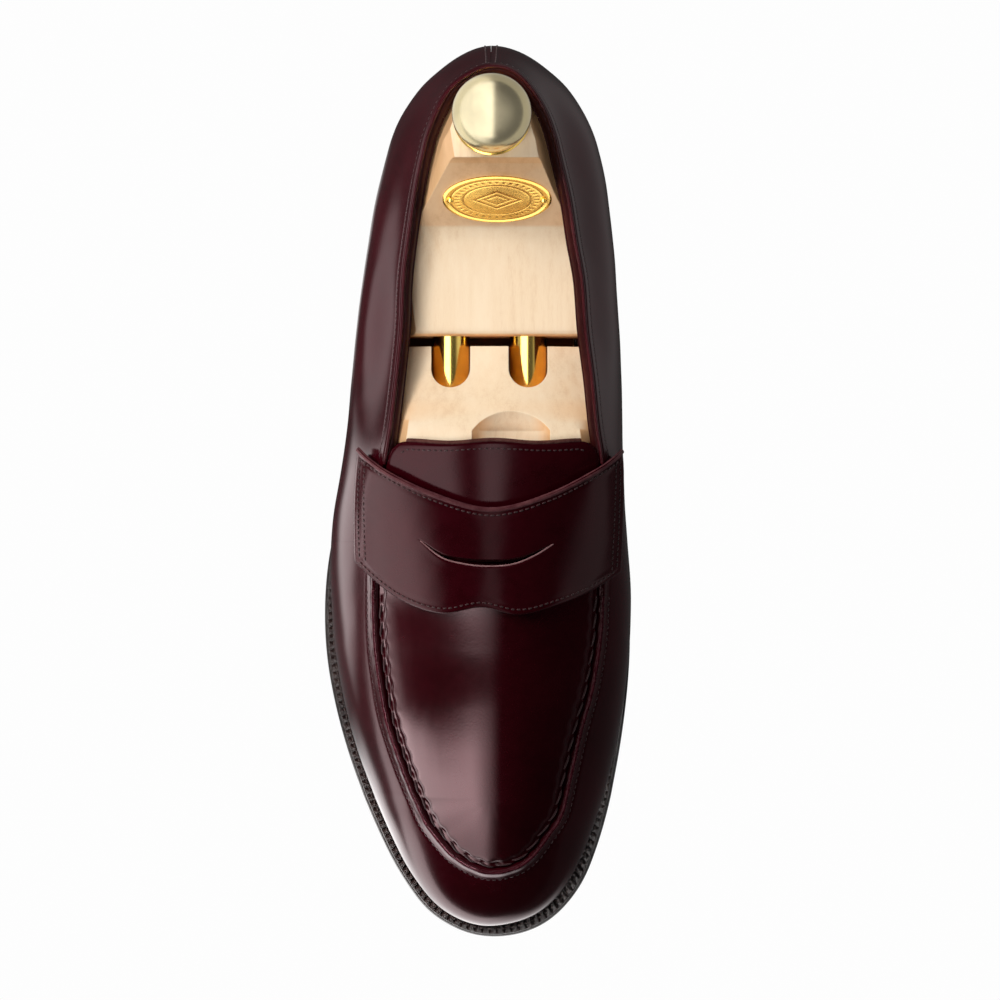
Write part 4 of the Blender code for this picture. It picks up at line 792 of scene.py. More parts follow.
def wall_piece(name, us, reps, thick=1.5):
    v = wall_cols(us)
    fs = front_share(us)[:, None]
    vv, total = v_for_s(us, NEAR)
    s_full = np.concatenate([np.tile(NEAR, (len(us), 1)), np.full((len(us), v.shape[1] - len(NEAR)), 99.0)], 1)
    run = rail_len(us)[:, None]
    wob = 1 + 0.07 * np.cos(run / STITCH_PITCH * 2 * math.pi)
    h = fs * ridge_profile(s_full) * wob + (1 - fs) * topline_profile(s_full)
    uu = np.broadcast_to(np.asarray(us)[:, None], v.shape)
    outer = wall(uu, v, 0.0)
    nrm = wall(uu, v, -1.0) - outer
    yy = outer[..., 1]
    # faint hand-lasted unevenness, fading out at the seams
    h = h + 0.05 * wave_noise(outer[..., 1] * 0.35, outer[..., 2] * 0.5, 1.0) * np.where(s_full > 90, 1.0, 0.0)
    # crease at the feather line
    h = h - 0.25 * (1 - smoothstep(0.0, 0.035, v))
    outer = outer + nrm * h[..., None]
    inner = wall(uu, v, thick)
    # roll the ridge's inner side down towards the apron
    dx, dy = ray(us)[2:]
    inward = np.stack([-dx, -dy, np.zeros_like(dx)], -1)[:, None, :]
    f3 = fs[..., None]
    lips = []
    for a_in, b_dn in ((0.62, 1.55), (0.60, 1.05), (0.52, 0.62), (0.36, 0.28), (0.18, 0.08)):
        lips.append(outer[:, :1] + inward * (a_in * f3 + 0.3 * a_in * (1 - f3)) - nrm[:, :1] * (b_dn * f3 + 0.2 * b_dn * (1 - f3)))
    outer = np.concatenate(lips + [outer], 1)
    inner = np.concatenate([inner[:, :1] + inward * 0.002 * k for k in range(len(lips), 0, -1)] + [inner], 1)
    data = shell_data(outer, inner)
    return piece(name, *data, M_UPPER, slot="upper_leather", reps=reps, angle=55)


vamp_us = even_us(u_med(SIDE_SEAM), U_E + u_lat(SIDE_SEAM), 0.5)
wall_piece("vamp_wall", vamp_us, ("vamp", "apron_piping"))
BACK_U = (U_B + U_C) / 2
wall_piece("quarter_outer_lateral", even_us(u_lat(SIDE_SEAM + 0.03), BACK_U - 0.06, 1.2), ("quarter_lateral",))
wall_piece("quarter_outer_medial", even_us(BACK_U + 0.06, u_med(SIDE_SEAM + 0.03), 1.2), ("quarter_medial",))

# linings along the opening, split like the CAD
GRIP = 14.0


def lining_piece(name, u0, u1, reps, mat):
    us = even_us(u0, u1, 2.0)
    vs = np.array([0.02, 0.1, 0.18, 0.26, 0.35, 0.45, 0.55, 0.65, 0.77, 0.86, 0.93, 0.975, 0.992])
    a = wall(us[:, None], vs[None, :], 3.1)
    b = wall(us[:, None], vs[None, :], 4.0)
    return piece(name, *shell_data(a, b), mat, slot="lining_leather", reps=reps)


lining_piece("lining_lateral", u_lat(-29.5), U_B + GRIP - 0.2, ("quarter_lining_lateral",), M_LINING)
lining_piece("lining_heel_grip", U_B + GRIP + 0.2, U_C - GRIP - 0.2, ("heel_grip",), M_LINING)
lining_piece("lining_medial", U_C - GRIP + 0.2, u_med(-29.5), ("quarter_lining_medial",), M_LINING)

# rolled bead and the folded edge between upper and lining
ub = even_us(u_lat(THROAT - 6.0), u_med(THROAT - 6.0), 0.8)
pb = wall(ub, 1.0, 0.0)
nb = wall(ub, 1.0, -1.0) - pb
dxb, dyb = ray(ub)[2:]
inb = np.stack([-dxb, -dyb, np.zeros_like(dxb)], -1)
upb = np.tile([0, 0, 1.0], (len(ub), 1))
bead_path = pb + inb * 0.55 + upb * 0.10
piece("topline_bead", *cord_data(bead_path, nb, 1.25, 1.3, sides=12), M_BEAD, slot="upper_leather", reps=("topline_binding",))
ringf = np.stack([bead_path + inb * 0.35 - upb * 0.25, bead_path + inb * 0.9 - upb * 0.12, bead_path + inb * 1.6 - upb * 0.35, bead_path + inb * 2.2 - upb * 0.9,
                  bead_path + inb * 2.5 - upb * 1.8, bead_path + inb * 2.2 - upb * 2.4, bead_path + inb * 0.7 - upb * 1.6], 1)
piece("topline_facing", *tube_data(ringf), M_LINING, slot="lining_leather")


# ---------------------------------------------------------------- apron, tongue
def rail_xyz(u):
    x, y = at(u, dist(T_RAIL, u))
    return np.stack([x, y, np.interp(np.mod(u, U_E), T_RAIL[:, 0], T_RAIL[:, 2])], -1)


def crown(x, y, h=0.0):
    """Crowned top raised by h, which may differ from point to point."""
    return apron(x, y, -np.asarray(h, float)[..., None] if np.ndim(h) else -h)


def top_pt(u, s, h=0.0):
    """Point on the crowned top at distance s inside the rail."""
    u, s = np.broadcast_arrays(np.asarray(u, float), np.asarray(s, float))
    r = np.maximum(dist(T_RAIL, u) - s, 0.0)
    x, y = at(u, r)
    return crown(x, y, h)


def dip_profile(s, run):
    pk = 0.5 + 0.5 * np.cos(2 * math.pi * run / STITCH_PITCH)
    base = -0.85 * (1 - smoothstep(0.4, 1.5, s)) - 0.42 * np.exp(-((s - 2.3) / 0.9) ** 2)
    puck = 0.26 * (pk - 0.5) * smoothstep(0.9, 1.8, s) * (1 - smoothstep(2.6, 4.6, s))
    return base + puck


AP_END = -12.0
ap_us = even_us(u_med(AP_END), U_E + u_lat(AP_END), 0.6)
ap_us = np.array(ap_us)
half = U_E  # toe tip
# matching stations on both sides so that the rays meet in pairs on the axis
lat_part = np.sort(ap_us[ap_us >= U_E])
lat_part = np.concatenate([[U_E], lat_part[lat_part > U_E + 0.2]])
pairs_med = np.array([U_E - (u - U_E) if (u - U_E) <= U_A else U_C + (U_B - (u - U_E)) for u in lat_part])
ap_us = np.concatenate([pairs_med[::-1], lat_part[1:]])
SC = np.array([0.55, 0.8, 1.05, 1.3, 1.6, 1.9, 2.2, 2.5, 2.8, 3.2, 3.6, 4.1, 4.7, 5.5, 6.5, 7.8, 9.5, 11.5, 14, 17])
rt_ap = dist(T_RAIL, ap_us)


def apron_piece(name, us, run, reps, h_fun, mat=M_UPPER, thick=1.5):
    rt = dist(T_RAIL, us)
    cols = []
    for k in range(len(SC)):
        cols.append(np.full(len(us), SC[k]))
    for t in (0.2, 0.4, 0.6, 0.8, 1.0):
        cols.append(17 + (rt - 17) * t)
    s = np.stack(cols, 1)
    h = h_fun(s, run[:, None])
    outer = top_pt(us[:, None], s, h)
    inner = top_pt(us[:, None], s, -thick)
    # meet exactly on the axis
    ax_o = top_pt(us, dist(T_RAIL, us), 0.0)
    return piece(name, *shell_data(outer, inner), mat, slot="upper_leather", reps=reps, angle=60)


apron_ob = apron_piece("apron_plug", ap_us, rail_len(ap_us), ("apron",), dip_profile, M_APRON)


def tongue_piece():
    """Crowned tongue running out from under the strap, with a rounded, raw top edge."""
    ys = np.concatenate([np.linspace(-11.6, 14.0, 26), [15.2, 16.2, 17.0, 17.7, 18.3, 18.8, 19.15, 19.35]])
    cs = np.concatenate([[0, 0.01, 0.025, 0.045, 0.07, 0.10], np.linspace(0.14, 0.86, 25), [0.90, 0.93, 0.955, 0.975, 0.99, 1.0]])
    rows_o, rows_i = [], []
    for y in ys:
        # top edge bows up slightly in the middle and rounds off at both corners
        xl, xm, _, _ = (float(t) for t in rail_x(np.array(min(y, 18.0))))
        over = max(0.0, (y - 12.5) / (19.35 - 12.5))
        inset = 1.1 + 5.6 * (1 - math.sqrt(max(0.0, 1 - over ** 2.6)))
        a, b = xl + inset, xm - inset
        x = a + (b - a) * cs
        yy = y - 0.9 * np.sin(np.clip((cs - 0.5) * 2, -1, 1) * math.pi) ** 2 * over + 0.0 * x
        e = np.minimum(cs, 1 - cs) * (b - a)
        rnd = -0.45 * (1 - np.clip(e / 0.7, 0, 1)) ** 2
        t_end = np.clip((19.35 - y) / 0.8, 0, 1)
        rnd = rnd - 0.45 * (1 - t_end) ** 2
        rows_o.append(crown(x, yy, rnd))
        rows_i.append(apron(x, yy, 1.6))
    o, i = np.array(rows_o), np.array(rows_i)
    return piece("tongue_top", *shell_data(o, i), M_UPPER, slot="upper_leather", reps=("tongue",), angle=50), o, i


tongue_ob, tg_o, tg_i = tongue_piece()
# raw edge of the tongue's end
edge_path = (tg_o[-1] + tg_i[-1]) / 2 + np.array([0, 0.25, 0.30])
piece("tongue_raw_edge", *cord_data(edge_path, np.tile([0, 1.0, 0.4], (len(edge_path), 1)), 1.7, 1.35, sides=8), M_FUZZ, slot="upper_leather")


# ---------------------------------------------------------------- strap
def section(y, d):
    vs = np.linspace(0.36, 0.93, 26)
    lat, med = wall(u_lat(y), vs, d), wall(u_med(y), vs[::-1], d)
    xl, xm, _, _ = rail_x(np.array(y))
    top = apron(np.linspace(float(xl) + 2.5, float(xm) - 2.5, 60), y, d)
    line = np.vstack([lat, top, med])
    k = np.array([1, 3, 6, 7, 6, 3, 1], float) / 27
    for _ in range(2):
        sm = line.copy()
        for c in (0, 2):
            sm[3:-3, c] = np.convolve(line[:, c], k, "valid")
        line = sm
    return line


SEC_Y = np.arange(-46.0, 25.01, 0.5)
SEC_A = np.arange(-56.0, 56.01, 0.5)


def section_grid(d):
    g = []
    for y in SEC_Y:
        line = section(float(y), d)
        s = np.concatenate([[0], np.cumsum(np.linalg.norm(np.diff(line, axis=0), axis=1))])
        s = s - np.interp(X_AXIS, line[:, 0], s)
        g.append(np.stack([np.interp(SEC_A, s, line[:, 0]), np.full(len(SEC_A), y), np.interp(SEC_A, s, line[:, 2])], -1))
    return np.array(g)


SEC_LOW, SEC_HIGH = section_grid(-2.75), section_grid(-4.75)


def on_section(a, y, h):
    """Point over the upper at arc length a from the crest, h above the strap's underside."""
    a, y, h = np.broadcast_arrays(np.asarray(a, float), np.asarray(y, float), np.asarray(h, float))
    fi = np.clip((y - SEC_Y[0]) / 0.5, 0, len(SEC_Y) - 1.001)
    fj = np.clip((a - SEC_A[0]) / 0.5, 0, len(SEC_A) - 1.001)
    i, j = fi.astype(int), fj.astype(int)
    p, q = (fi - i)[..., None], (fj - j)[..., None]
    f = lambda g: (g[i, j] * (1 - p) + g[i + 1, j] * p) * (1 - q) + (g[i, j + 1] * (1 - p) + g[i + 1, j + 1] * p) * q
    t = (h / 2.0)[..., None]
    return f(SEC_LOW) * (1 - t) + f(SEC_HIGH) * t


STRAP_TOP = [(-52, 17.5), (-36, 9.5), (-20, 2.6), (0, -2.6), (20, 2.4), (36, 10), (50, 17.0)]
STRAP_BOT = [(-52, -20.5), (-42, -27.5), (-30, -34), (-16, -37.6), (-3, -35.6), (9, -38.0), (24, -34.5), (37, -30), (50, -24)]
SLOT = [(-24.5, -12.9), (-16.5, -18.4), (-9, -20.2), (0, -20.9), (8, -20.2), (14.5, -17.9), (21.5, -14.2)]
SLOT_W = 2.0


def strap_edges(a):
    return float(spline1(STRAP_TOP, a)), float(spline1(STRAP_BOT, a))


def strap_surface(a, y, h):
    return on_section(a, y, h)


def strap_piece():
    a_l = np.unique(np.round(np.concatenate([[-52, -51.7, -51.2, -50.5], np.linspace(-49.5, -25.5, 22), np.linspace(SLOT[0][0], SLOT[-1][0], 47),
                                             np.linspace(22.5, 47.5, 22), [48.5, 49.2, 49.7, 50]]), 3))
    tk = 1.35
    up_r = np.array([0, 0.15, 0.4, 0.8, 1.3, 1.8, 2.3, 3.0])
    o, i = [], []
    for a in a_l:
        yt, yb = strap_edges(a)
        ysl = float(spline1(SLOT, a))
        inside = SLOT[0][0] < a < SLOT[-1][0]
        f = (a - SLOT[0][0]) / (SLOT[-1][0] - SLOT[0][0]) if inside else 0.0
        w = SLOT_W * math.sin(math.pi * f) ** 0.8 if inside else 0.0
        su, sl = ysl + w * 0.5, ysl - w * 0.5
        ys = [yt - t for t in up_r]
        mid_u = list(np.linspace(yt - 4.5, su + 2.0, 9))
        lips = [su + 1.2, su + 0.6, su + 0.25, su, sl, sl - 0.25, sl - 0.6, sl - 1.2]
        mid_l = list(np.linspace(sl - 2.2, yb + 4.5, 9))
        ye = [yb + t for t in up_r[::-1]]
        ys = ys + mid_u + lips + mid_l + ye
        ea = min(a + 52, 50 - a)
        ro, ri = [], []
        for y in ys:
            e = min(yt - y, y - yb, ea)
            h = tk - 0.40 * (1 - min(e / 0.5, 1)) ** 2
            # stitch channel
            for dd, depth in ((2.2, 0.16),):
                h -= depth * math.exp(-((e - dd) / 0.35) ** 2)
            if inside:
                es = (y - su) if y >= su else (sl - y if y <= sl else 0)
                if es >= 0:
                    h -= 0.35 * (1 - min(es / 0.4, 1)) ** 2 * min(1, w)
                    h += 0.28 * math.exp(-((es - 0.9) / 0.7) ** 2) * math.sin(math.pi * f) * (1.0 if y <= sl else -0.5)
            h += 0.04 * float(wave_noise(a * 0.5, y * 0.5, 2.0))
            ro.append((a, y, h))
            ri.append((a, y, 0.0))
        o.append(ro)
        i.append(ri)
    o, i = (strap_surface(*np.moveaxis(np.array(g, float), -1, 0)) for g in (o, i))
    j_gap = len(up_r) + 9 + 3
    skip = lambda ii, jj: jj == j_gap and SLOT[0][0] - 1e-6 <= a_l[ii] and a_l[ii + 1] <= SLOT[-1][0] + 1e-6
    return piece("strap_saddle", *shell_data(o, i, skip=skip), M_UPPER, slot="upper_leather", reps=("saddle_strap",), angle=50), a_l


strap_ob, strap_as = strap_piece()


def strap_path(pts, h):
    a, y = np.array(pts, float).T
    p, q = strap_surface(a, y, h), strap_surface(a, y, h + 1.0)
    n = q - p
    return p, n / np.linalg.norm(n, axis=1, keepdims=True)


# raw edges of the strap: the top edge shows lighter leather; the slot's lower lip is a much lighter pink strip, partly
# its raw edge and partly a painted highlight
aa = np.linspace(-51.8, 49.8, 90)
pe, ne = strap_path([(a, strap_edges(a)[0] - 0.62) for a in aa], 0.86)
piece("strap_raw_edge", *cord_data(pe, ne, 1.75, 1.15, sides=12), M_EDGE, slot="upper_leather")
sa = np.linspace(SLOT[0][0] + 0.6, SLOT[-1][0] - 0.6, 50)
ws = [SLOT_W * math.sin(math.pi * (a - SLOT[0][0]) / (SLOT[-1][0] - SLOT[0][0])) ** 0.8 for a in sa]
ps_, ns_ = strap_path([(a, float(spline1(SLOT, a)) - w * 0.5 + 0.0) for a, w in zip(sa, ws)], 1.02)
piece("slot_raw_edge", *cord_data(ps_, ns_, 0.62, 0.8, sides=8), M_SLOT_LIP_HIGHLIGHT, slot="upper_leather")

# ---------------------------------------------------------------- stitching
parts = []
for inset in (2.0,):
    aa = np.linspace(-49.5, 47.5, 120)
    p, n = strap_path([(a, strap_edges(a)[0] - inset - 0.45) for a in aa], 1.3)
    parts.append(stitches(p, n, 1.95, 1.5, 0.26, rise=0.10, sink=0.25))
    p, n = strap_path([(a, strap_edges(a)[1] + 1.7) for a in aa], 1.3)
    parts.append(stitches(p, n, 1.95, 1.5, 0.26, rise=0.10, sink=0.25))
for a0 in (-49.4, -46.6, 47.4, 45.0):
    yt, yb = strap_edges(a0)
    yy = np.linspace(yt - 2.0, yb + 2.0, 60)
    p, n = strap_path([(a0, y) for y in yy], 1.3)
    parts.append(stitches(p, n, 1.95, 1.5, 0.26, rise=0.10, sink=0.25))
piece("strap_stitching", *merge(parts), M_THREAD_FINE, slot="upper_thread", reps=("strap_thread",), angle=60, weld=0)

# topline stitch row, 3.5 mm below the bead
us_t = even_us(u_lat(THROAT - 4), u_med(THROAT - 4), 1.0)
vt = np.array([v_for_s(np.array([u]), np.array([3.55]))[0][0, 0] for u in us_t])
pt = wall(us_t, vt, 0.12)
nt_ = wall(us_t, vt, -0.88) - pt
piece("topline_stitching", *stitches(pt, nt_, 2.0, 1.5, 0.25, rise=0.12, sink=0.25), M_THREAD_FINE, slot="upper_thread", reps=("topline_thread",), angle=60, weld=0)

# moccasin seam: hand stitches inside the ridge, fine row outside it
seam_us = even_us(u_med(-32.0), U_E + u_lat(-30.0), 0.9)
run0 = rail_len(seam_us)
pa = top_pt(seam_us, 1.50, 0.0)
na = top_pt(seam_us, 1.50, 1.0) - pa
parts = [stitches(pa - na * 0.42, na, STITCH_PITCH, 6.3, 0.36, rise=0.34, sink=0.30, skew=1.15, sides=8)]
# hand-sewn ridge: a lighter cord laid along the crest is a painted highlight; each side gets its own reflected softbox
for nm_, sel in (("medial", seam_us < U_E + 9.0), ("lateral", seam_us > U_E + 9.0 - 0.9)):
    uc = seam_us[sel]
    vc = np.array([v_for_s(np.array([u]), np.array([0.80]))[0][0, 0] for u in uc])
    pc_ = wall(uc, vc, 0.0)
    nc_ = wall(uc, vc, -1.0) - pc_
    wobc = 1 + 0.07 * np.cos(rail_len(seam_us)[sel] / STITCH_PITCH * 2 * math.pi)
    piece("ridge_crest_" + nm_, *cord_data(pc_ + nc_ * (0.80 * wobc - 0.12)[:, None], nc_, 1.3, 0.72, sides=12), M_RIDGE_HIGHLIGHT, slot="upper_leather", angle=70)
vo = np.array([v_for_s(np.array([u]), np.array([4.35]))[0][0, 0] for u in seam_us])
po = wall(seam_us, vo, 0.15)
no = wall(seam_us, vo, -0.85) - po
parts2 = [stitches(po, no, 2.05, 1.55, 0.24, rise=0.10, sink=0.25)]
piece("moccasin_stitching", *merge(parts), M_THREAD, slot="upper_thread", reps=("apron_thread",), angle=60, weld=0)
piece("vamp_stitching", *merge(parts2), M_THREAD_FINE, slot="upper_thread", angle=60, weld=0)

# tongue edge stitch row
yy = np.linspace(0.06, 0.94, 90)
xl_, xm_, _, _ = (float(t) for t in rail_x(np.array(16.0)))
xs = xl_ + 1.1 + (xm_ - xl_ - 2.2) * yy
ye = 17.0 - 3.2 * np.clip((np.abs(yy - 0.5) - 0.40) / 0.06, 0, 1) ** 2 - 0.7 * np.sin((yy - 0.5) * 2 * math.pi) ** 2
pg = apron(xs, ye, 0.05)
ng = apron(xs, ye, -0.95) - pg
piece("tongue_stitching", *stitches(pg, ng, 1.9, 1.45, 0.25, rise=0.12, sink=0.25), M_THREAD_FINE, slot="upper_thread", angle=60, weld=0)

# back seam: two stitch columns
bs_parts = []
for du in (-1.9, 1.9):
    vv = np.linspace(0.985, 0.12, 60)
    p = wall(np.full(60, BACK_U + du), vv, 0.02)
    n = wall(np.full(60, BACK_U + du), vv, -0.98) - p
    bs_parts.append(stitches(p, n, 2.0, 1.5, 0.25, rise=0.12, sink=0.25))
piece("back_seam_stitching", *merge(bs_parts), M_THREAD_FINE, slot="upper_thread", angle=60, weld=0)

# ---------------------------------------------------------------- sole, welt, heel
def mirror_u(u):
    if u <= U_A:
        return U_E - u
    if u <= U_B:
        return U_C + (U_B - u)
    return U_C - (u - U_B)


def half_us(u0, step=1.5):
    d = np.linspace(u0, BACK_U, 3000)
    x, y = at(d, dist(T_SOLE, d))
    s = np.concatenate([[0], np.cumsum(np.hypot(np.diff(x), np.diff(y)))])
    n = int(round(s[-1] / step))
    return np.interp(np.linspace(0, s[-1], n + 1), s, d)


def sole_solid(name, u0, prof, base, mat, slot, reps, y1=None, step=1.5):
    """Solid bounded by the sole edge; prof lists (inset, height) from bottom to top along the edge."""
    hu = half_us(u0, step)
    if y1 is not None:
        hu = np.concatenate([hu[hu < u_lat(y1) - 0.5], [u_lat(y1)]])
    lat = hu
    med = np.array([mirror_u(u) for u in hu])
    rings = []
    closed_toe, closed_heel = u0 == 0.0, y1 is None
    order_l = list(range(len(hu)))
    order_m = [k for k in reversed(range(len(hu))) if not (closed_heel and k == len(hu) - 1) and not (closed_toe and k == 0)]
    for inset, z in prof:
        xl, yl = at(lat, dist(T_SOLE, lat) - inset)
        xm, ym = at(med, dist(T_SOLE, med) - inset)
        L = np.stack([xl, yl, base(yl) + z], -1)
        M = np.stack([xm, ym, base(ym) + z], -1)
        rings.append(np.vstack([L[order_l], M[order_m]]))
    n = len(rings[0])
    v = np.vstack(rings)
    f = []
    for k in range(len(prof) - 1):
        for i in range(n):
            j = (i + 1) % n
            f.append((k * n + i, k * n + j, (k + 1) * n + j, (k + 1) * n + i))
    pos_m = {k: len(order_l) + t for t, k in enumerate(order_m)}
    mi = lambda k: pos_m.get(k, k)
    for base_i in (0, (len(prof) - 1) * n):
        for k in range(len(hu) - 1):
            q = []
            for t in (k, k + 1, mi(k + 1), mi(k)):
                if t not in q:
                    q.append(t)
            if len(q) >= 3:
                f.append(tuple(base_i + t for t in q))
    return piece(name, v, f, mat, slot=slot, reps=reps, angle=50)


flat = lambda y: np.zeros_like(np.asarray(y, float))
sole_solid("outsole_leather", 0.0, [(2.2, 0.0), (1.0, 0.0), (0.45, 0.35), (0.08, 1.3), (-0.05, 2.4), (0.02, 3.3), (0.25, 4.1), (0.6, 4.65), (1.05, 4.93), (2.5, 5.0)],
           z_bottom, M_SOLE, "sole_leather", ("outsole",), step=1.2)
for nm, y0, ins, z0, z1 in (("lift_upper", 75.0, 0.5, 15.7, 20.2), ("lift_middle", 75.4, 0.9, 10.9, 15.4), ("lift_lower", 75.8, 1.3, 6.1, 10.6)):
    k = {"lift_upper": "heel_lift_1", "lift_middle": "heel_lift_2", "lift_lower": "heel_lift_3"}[nm]
    sole_solid("heel_" + nm, u_lat(y0), [(ins + 0.35, z0), (ins + 0.06, z0 + 0.25), (ins, z0 + 0.8), (ins, z1 - 0.8), (ins + 0.06, z1 - 0.25), (ins + 0.35, z1)],
               flat, M_STACK, "sole_leather", (k,))
sole_solid("heel_piece_leather", u_lat(76.2), [(2.0, 0.0), (1.65, 0.3), (1.6, 1.0), (1.6, 5.0), (1.65, 5.55), (2.0, 5.8)], flat, M_STACK, "sole_leather", ("heel_top_piece",), y1=116.0)
sole_solid("heel_tip_rubber", u_lat(116.4), [(2.1, 0.0), (1.65, 0.4), (1.6, 1.0), (1.6, 5.0), (1.65, 5.55), (2.0, 5.8)], flat, M_RUBBER, "heel_rubber", ("heel_rubber_tip",))


def strip_piece(name, us, r_fun, prof_fun, mat, slot, reps, wrap=False):
    """Strip along the sole edge. prof_fun(us) gives columns of (radius, height above the sole bottom) for top and
    bottom skins.
    """
    top, bot = prof_fun(us)
    def pts(cols):
        out = []
        for r, z in cols:
            x, y = at(us, r)
            out.append(np.stack([x, y, z_bottom(y) + z], -1))
        return np.stack(out, 1)
    return piece(name, *shell_data(pts(top), pts(bot), wrap=wrap), mat, slot=slot, reps=reps, angle=50)


WHEEL = 2.6


def welt_profile(us):
    ro, rf = dist(T_SOLE, us) - 1.15, dist(T_FEATHER, us)
    x, y = at(us, ro)
    run = np.concatenate([[0], np.cumsum(np.hypot(np.diff(x), np.diff(y)))])
    ph = (run / WHEEL) % 1.0
    groove = np.exp(-((ph - 0.5) / 0.17) ** 2)
    room = np.clip((ro - rf - 0.4) / 2.2, 0, 1)
    fore = smoothstep(28.0, 10.0, y)
    fore = 1 - smoothstep(10.0, 28.0, y)
    inner = np.minimum(rf - 4.0, ro - 4.5)
    a = np.maximum(rf + 0.1, ro - 4.6)
    band = lambda t: a + (ro - 0.45 - a) * t
    zt = 7.7
    top = [(inner, zt + 0 * ro), (a - 0.8, zt + 0 * ro), (a, zt - 0.05 + 0 * ro)]
    for t, w in ((0.08, 0.4), (0.2, 1.0), (0.4, 1.0), (0.6, 1.0), (0.8, 1.0), (0.92, 0.5)):
        top.append((band(t), zt + (0.45 * (1 - groove) * w - 0.55 * groove * w) * room * fore))
    top += [(ro - 0.28, zt - 0.05 + 0 * ro), (ro - 0.10, zt - 0.3 + 0 * ro), (ro, zt - 0.9 + 0 * ro)]
    bot = [(r, 5.3 + 0 * ro) for r, z in top[:-1]] + [(ro - 0.02, 5.5 + 0 * ro)]
    bot[-1] = (ro - 0.15, 5.3 + 0 * ro)
    return top, bot


uw_l = U_E + u_lat(70.0)
welt_us = np.linspace(0, 1, 2)
d = np.linspace(u_med(70.0), uw_l, 4000)
xx, yy2 = at(d, dist(T_SOLE, d))
ss = np.concatenate([[0], np.cumsum(np.hypot(np.diff(xx), np.diff(yy2)))])
welt_us = np.interp(np.linspace(0, ss[-1], int(ss[-1] / 0.33)), ss, d)
strip_piece("welt_strip", welt_us, None, welt_profile, M_WELT, "welt_leather", ("welt",))


def rand_profile(us):
    ro, rf = dist(T_SOLE, us) - 0.45, dist(T_FEATHER, us)
    top = [(rf - 7.0, 7.7 + 0 * ro), (rf - 1.0, 7.7 + 0 * ro), (ro - 0.5, 7.7 + 0 * ro), (ro - 0.1, 7.4 + 0 * ro), (ro, 6.8 + 0 * ro)]
    bot = [(rf - 7.0, 5.3 + 0 * ro), (rf - 1.0, 5.3 + 0 * ro), (ro - 0.5, 5.3 + 0 * ro), (ro - 0.15, 5.5 + 0 * ro), (ro, 6.0 + 0 * ro)]
    return top, bot


ur = half_us(u_lat(70.4), 1.2)
ur = np.concatenate([ur, [mirror_u(u) for u in ur[::-1][1:]]])
strip_piece("heel_rand", ur, None, rand_profile, M_WELT, "welt_leather", ("heel_seat_rand",))

# welt thread: a stitch in every wheel mark's pad
keep = (welt_us > u_med(-15.0)) & (welt_us < U_E + u_lat(8.0))
uk = welt_us[keep]
wr = np.maximum(dist(T_FEATHER, uk) + 0.1, dist(T_SOLE, uk) - 5.75)
wr = wr + (dist(T_SOLE, uk) - 1.6 - wr) * 0.60
wx, wy = at(uk, wr)
wp = np.stack([wx, wy, z_bottom(wy) + 8.0], -1)
piece("welt_stitching", *stitches(wp, np.tile([0, 0, 1.0], (len(wp), 1)), WHEEL, 1.7, 0.32, rise=0.16, sink=0.3), M_THREAD_WELT, slot="welt_thread",
      reps=("welt_thread",), angle=60, weld=0)

# ---------------------------------------------------------------- shoe tree
TREE_D = 5.4
GUIDE_Z, GUIDE_XS = 48.0, (-16.5, 9.4)
SLEEVE_R, SLEEVE_RI, TUBE_R, TUBE_RI = 7.3, 6.42, 6.3, 5.4
SLEEVE_TOP, BORE_R = 34.3, 6.5
SCOOP_X, SCOOP_W, VALLEY = 3.65, 12.95, 22.9
FORE_REAR, HEEL_FRONT = 51.5, 54.9
TUBE_END, SLEEVE_END = 5.0, -19.0
KNOB_XY, PLATFORM_Z = (-2.7, 125.3), 88.0
FORE_TOP = [(18, 78.6), (24, 75.5), (34, 68.0), (44, 60.5), (52, 55.6)]


def fore_section(y):
    zs = float(z_feather(y)) + 4.6
    side = []
    lv_n = np.array([0.0, 0.07, 0.14, 0.23, 0.32, 0.44, 0.56, 0.68, 0.8, 0.9, 0.96, 1.0])
    cap = 1e9
    xl, xm, zl, zm = (float(t) for t in rail_x(np.array(y)))
    cs = np.concatenate([[0.09, 0.12], np.linspace(0.16, 0.84, 35), [0.88, 0.91]])
    xs = xl + (xm - xl) * cs
    if y <= 18:
        top = apron(xs, y, TREE_D)
        blend_k = 0.0
    else:
        zc = float(spline1(FORE_TOP, y))
        drop = 5.5 + 1.5 * float(smoothstep(24, 34, y))
        top = np.stack([xs, np.full(len(xs), y), zc - drop * np.abs((xs - X_AXIS) / 33.0) ** 2.1], -1)
        cap = zc - drop - 1.5
    for u in (u_lat(y), u_med(y)):
        c = wall(u, np.linspace(0.04, 0.9, 60), TREE_D)
        hi = min(c[-1, 2], cap)
        lv = zs + (hi - zs) * lv_n
        side.append(np.column_stack([np.interp(lv, c[:, 2], c[:, 0]), np.full(len(lv), y), lv]))
    lat, med = side
    lat[0, 0] += 1.0
    med[0, 0] -= 1.0
    top[:, 1] = y
    return np.vstack([lat, top, med[::-1]])


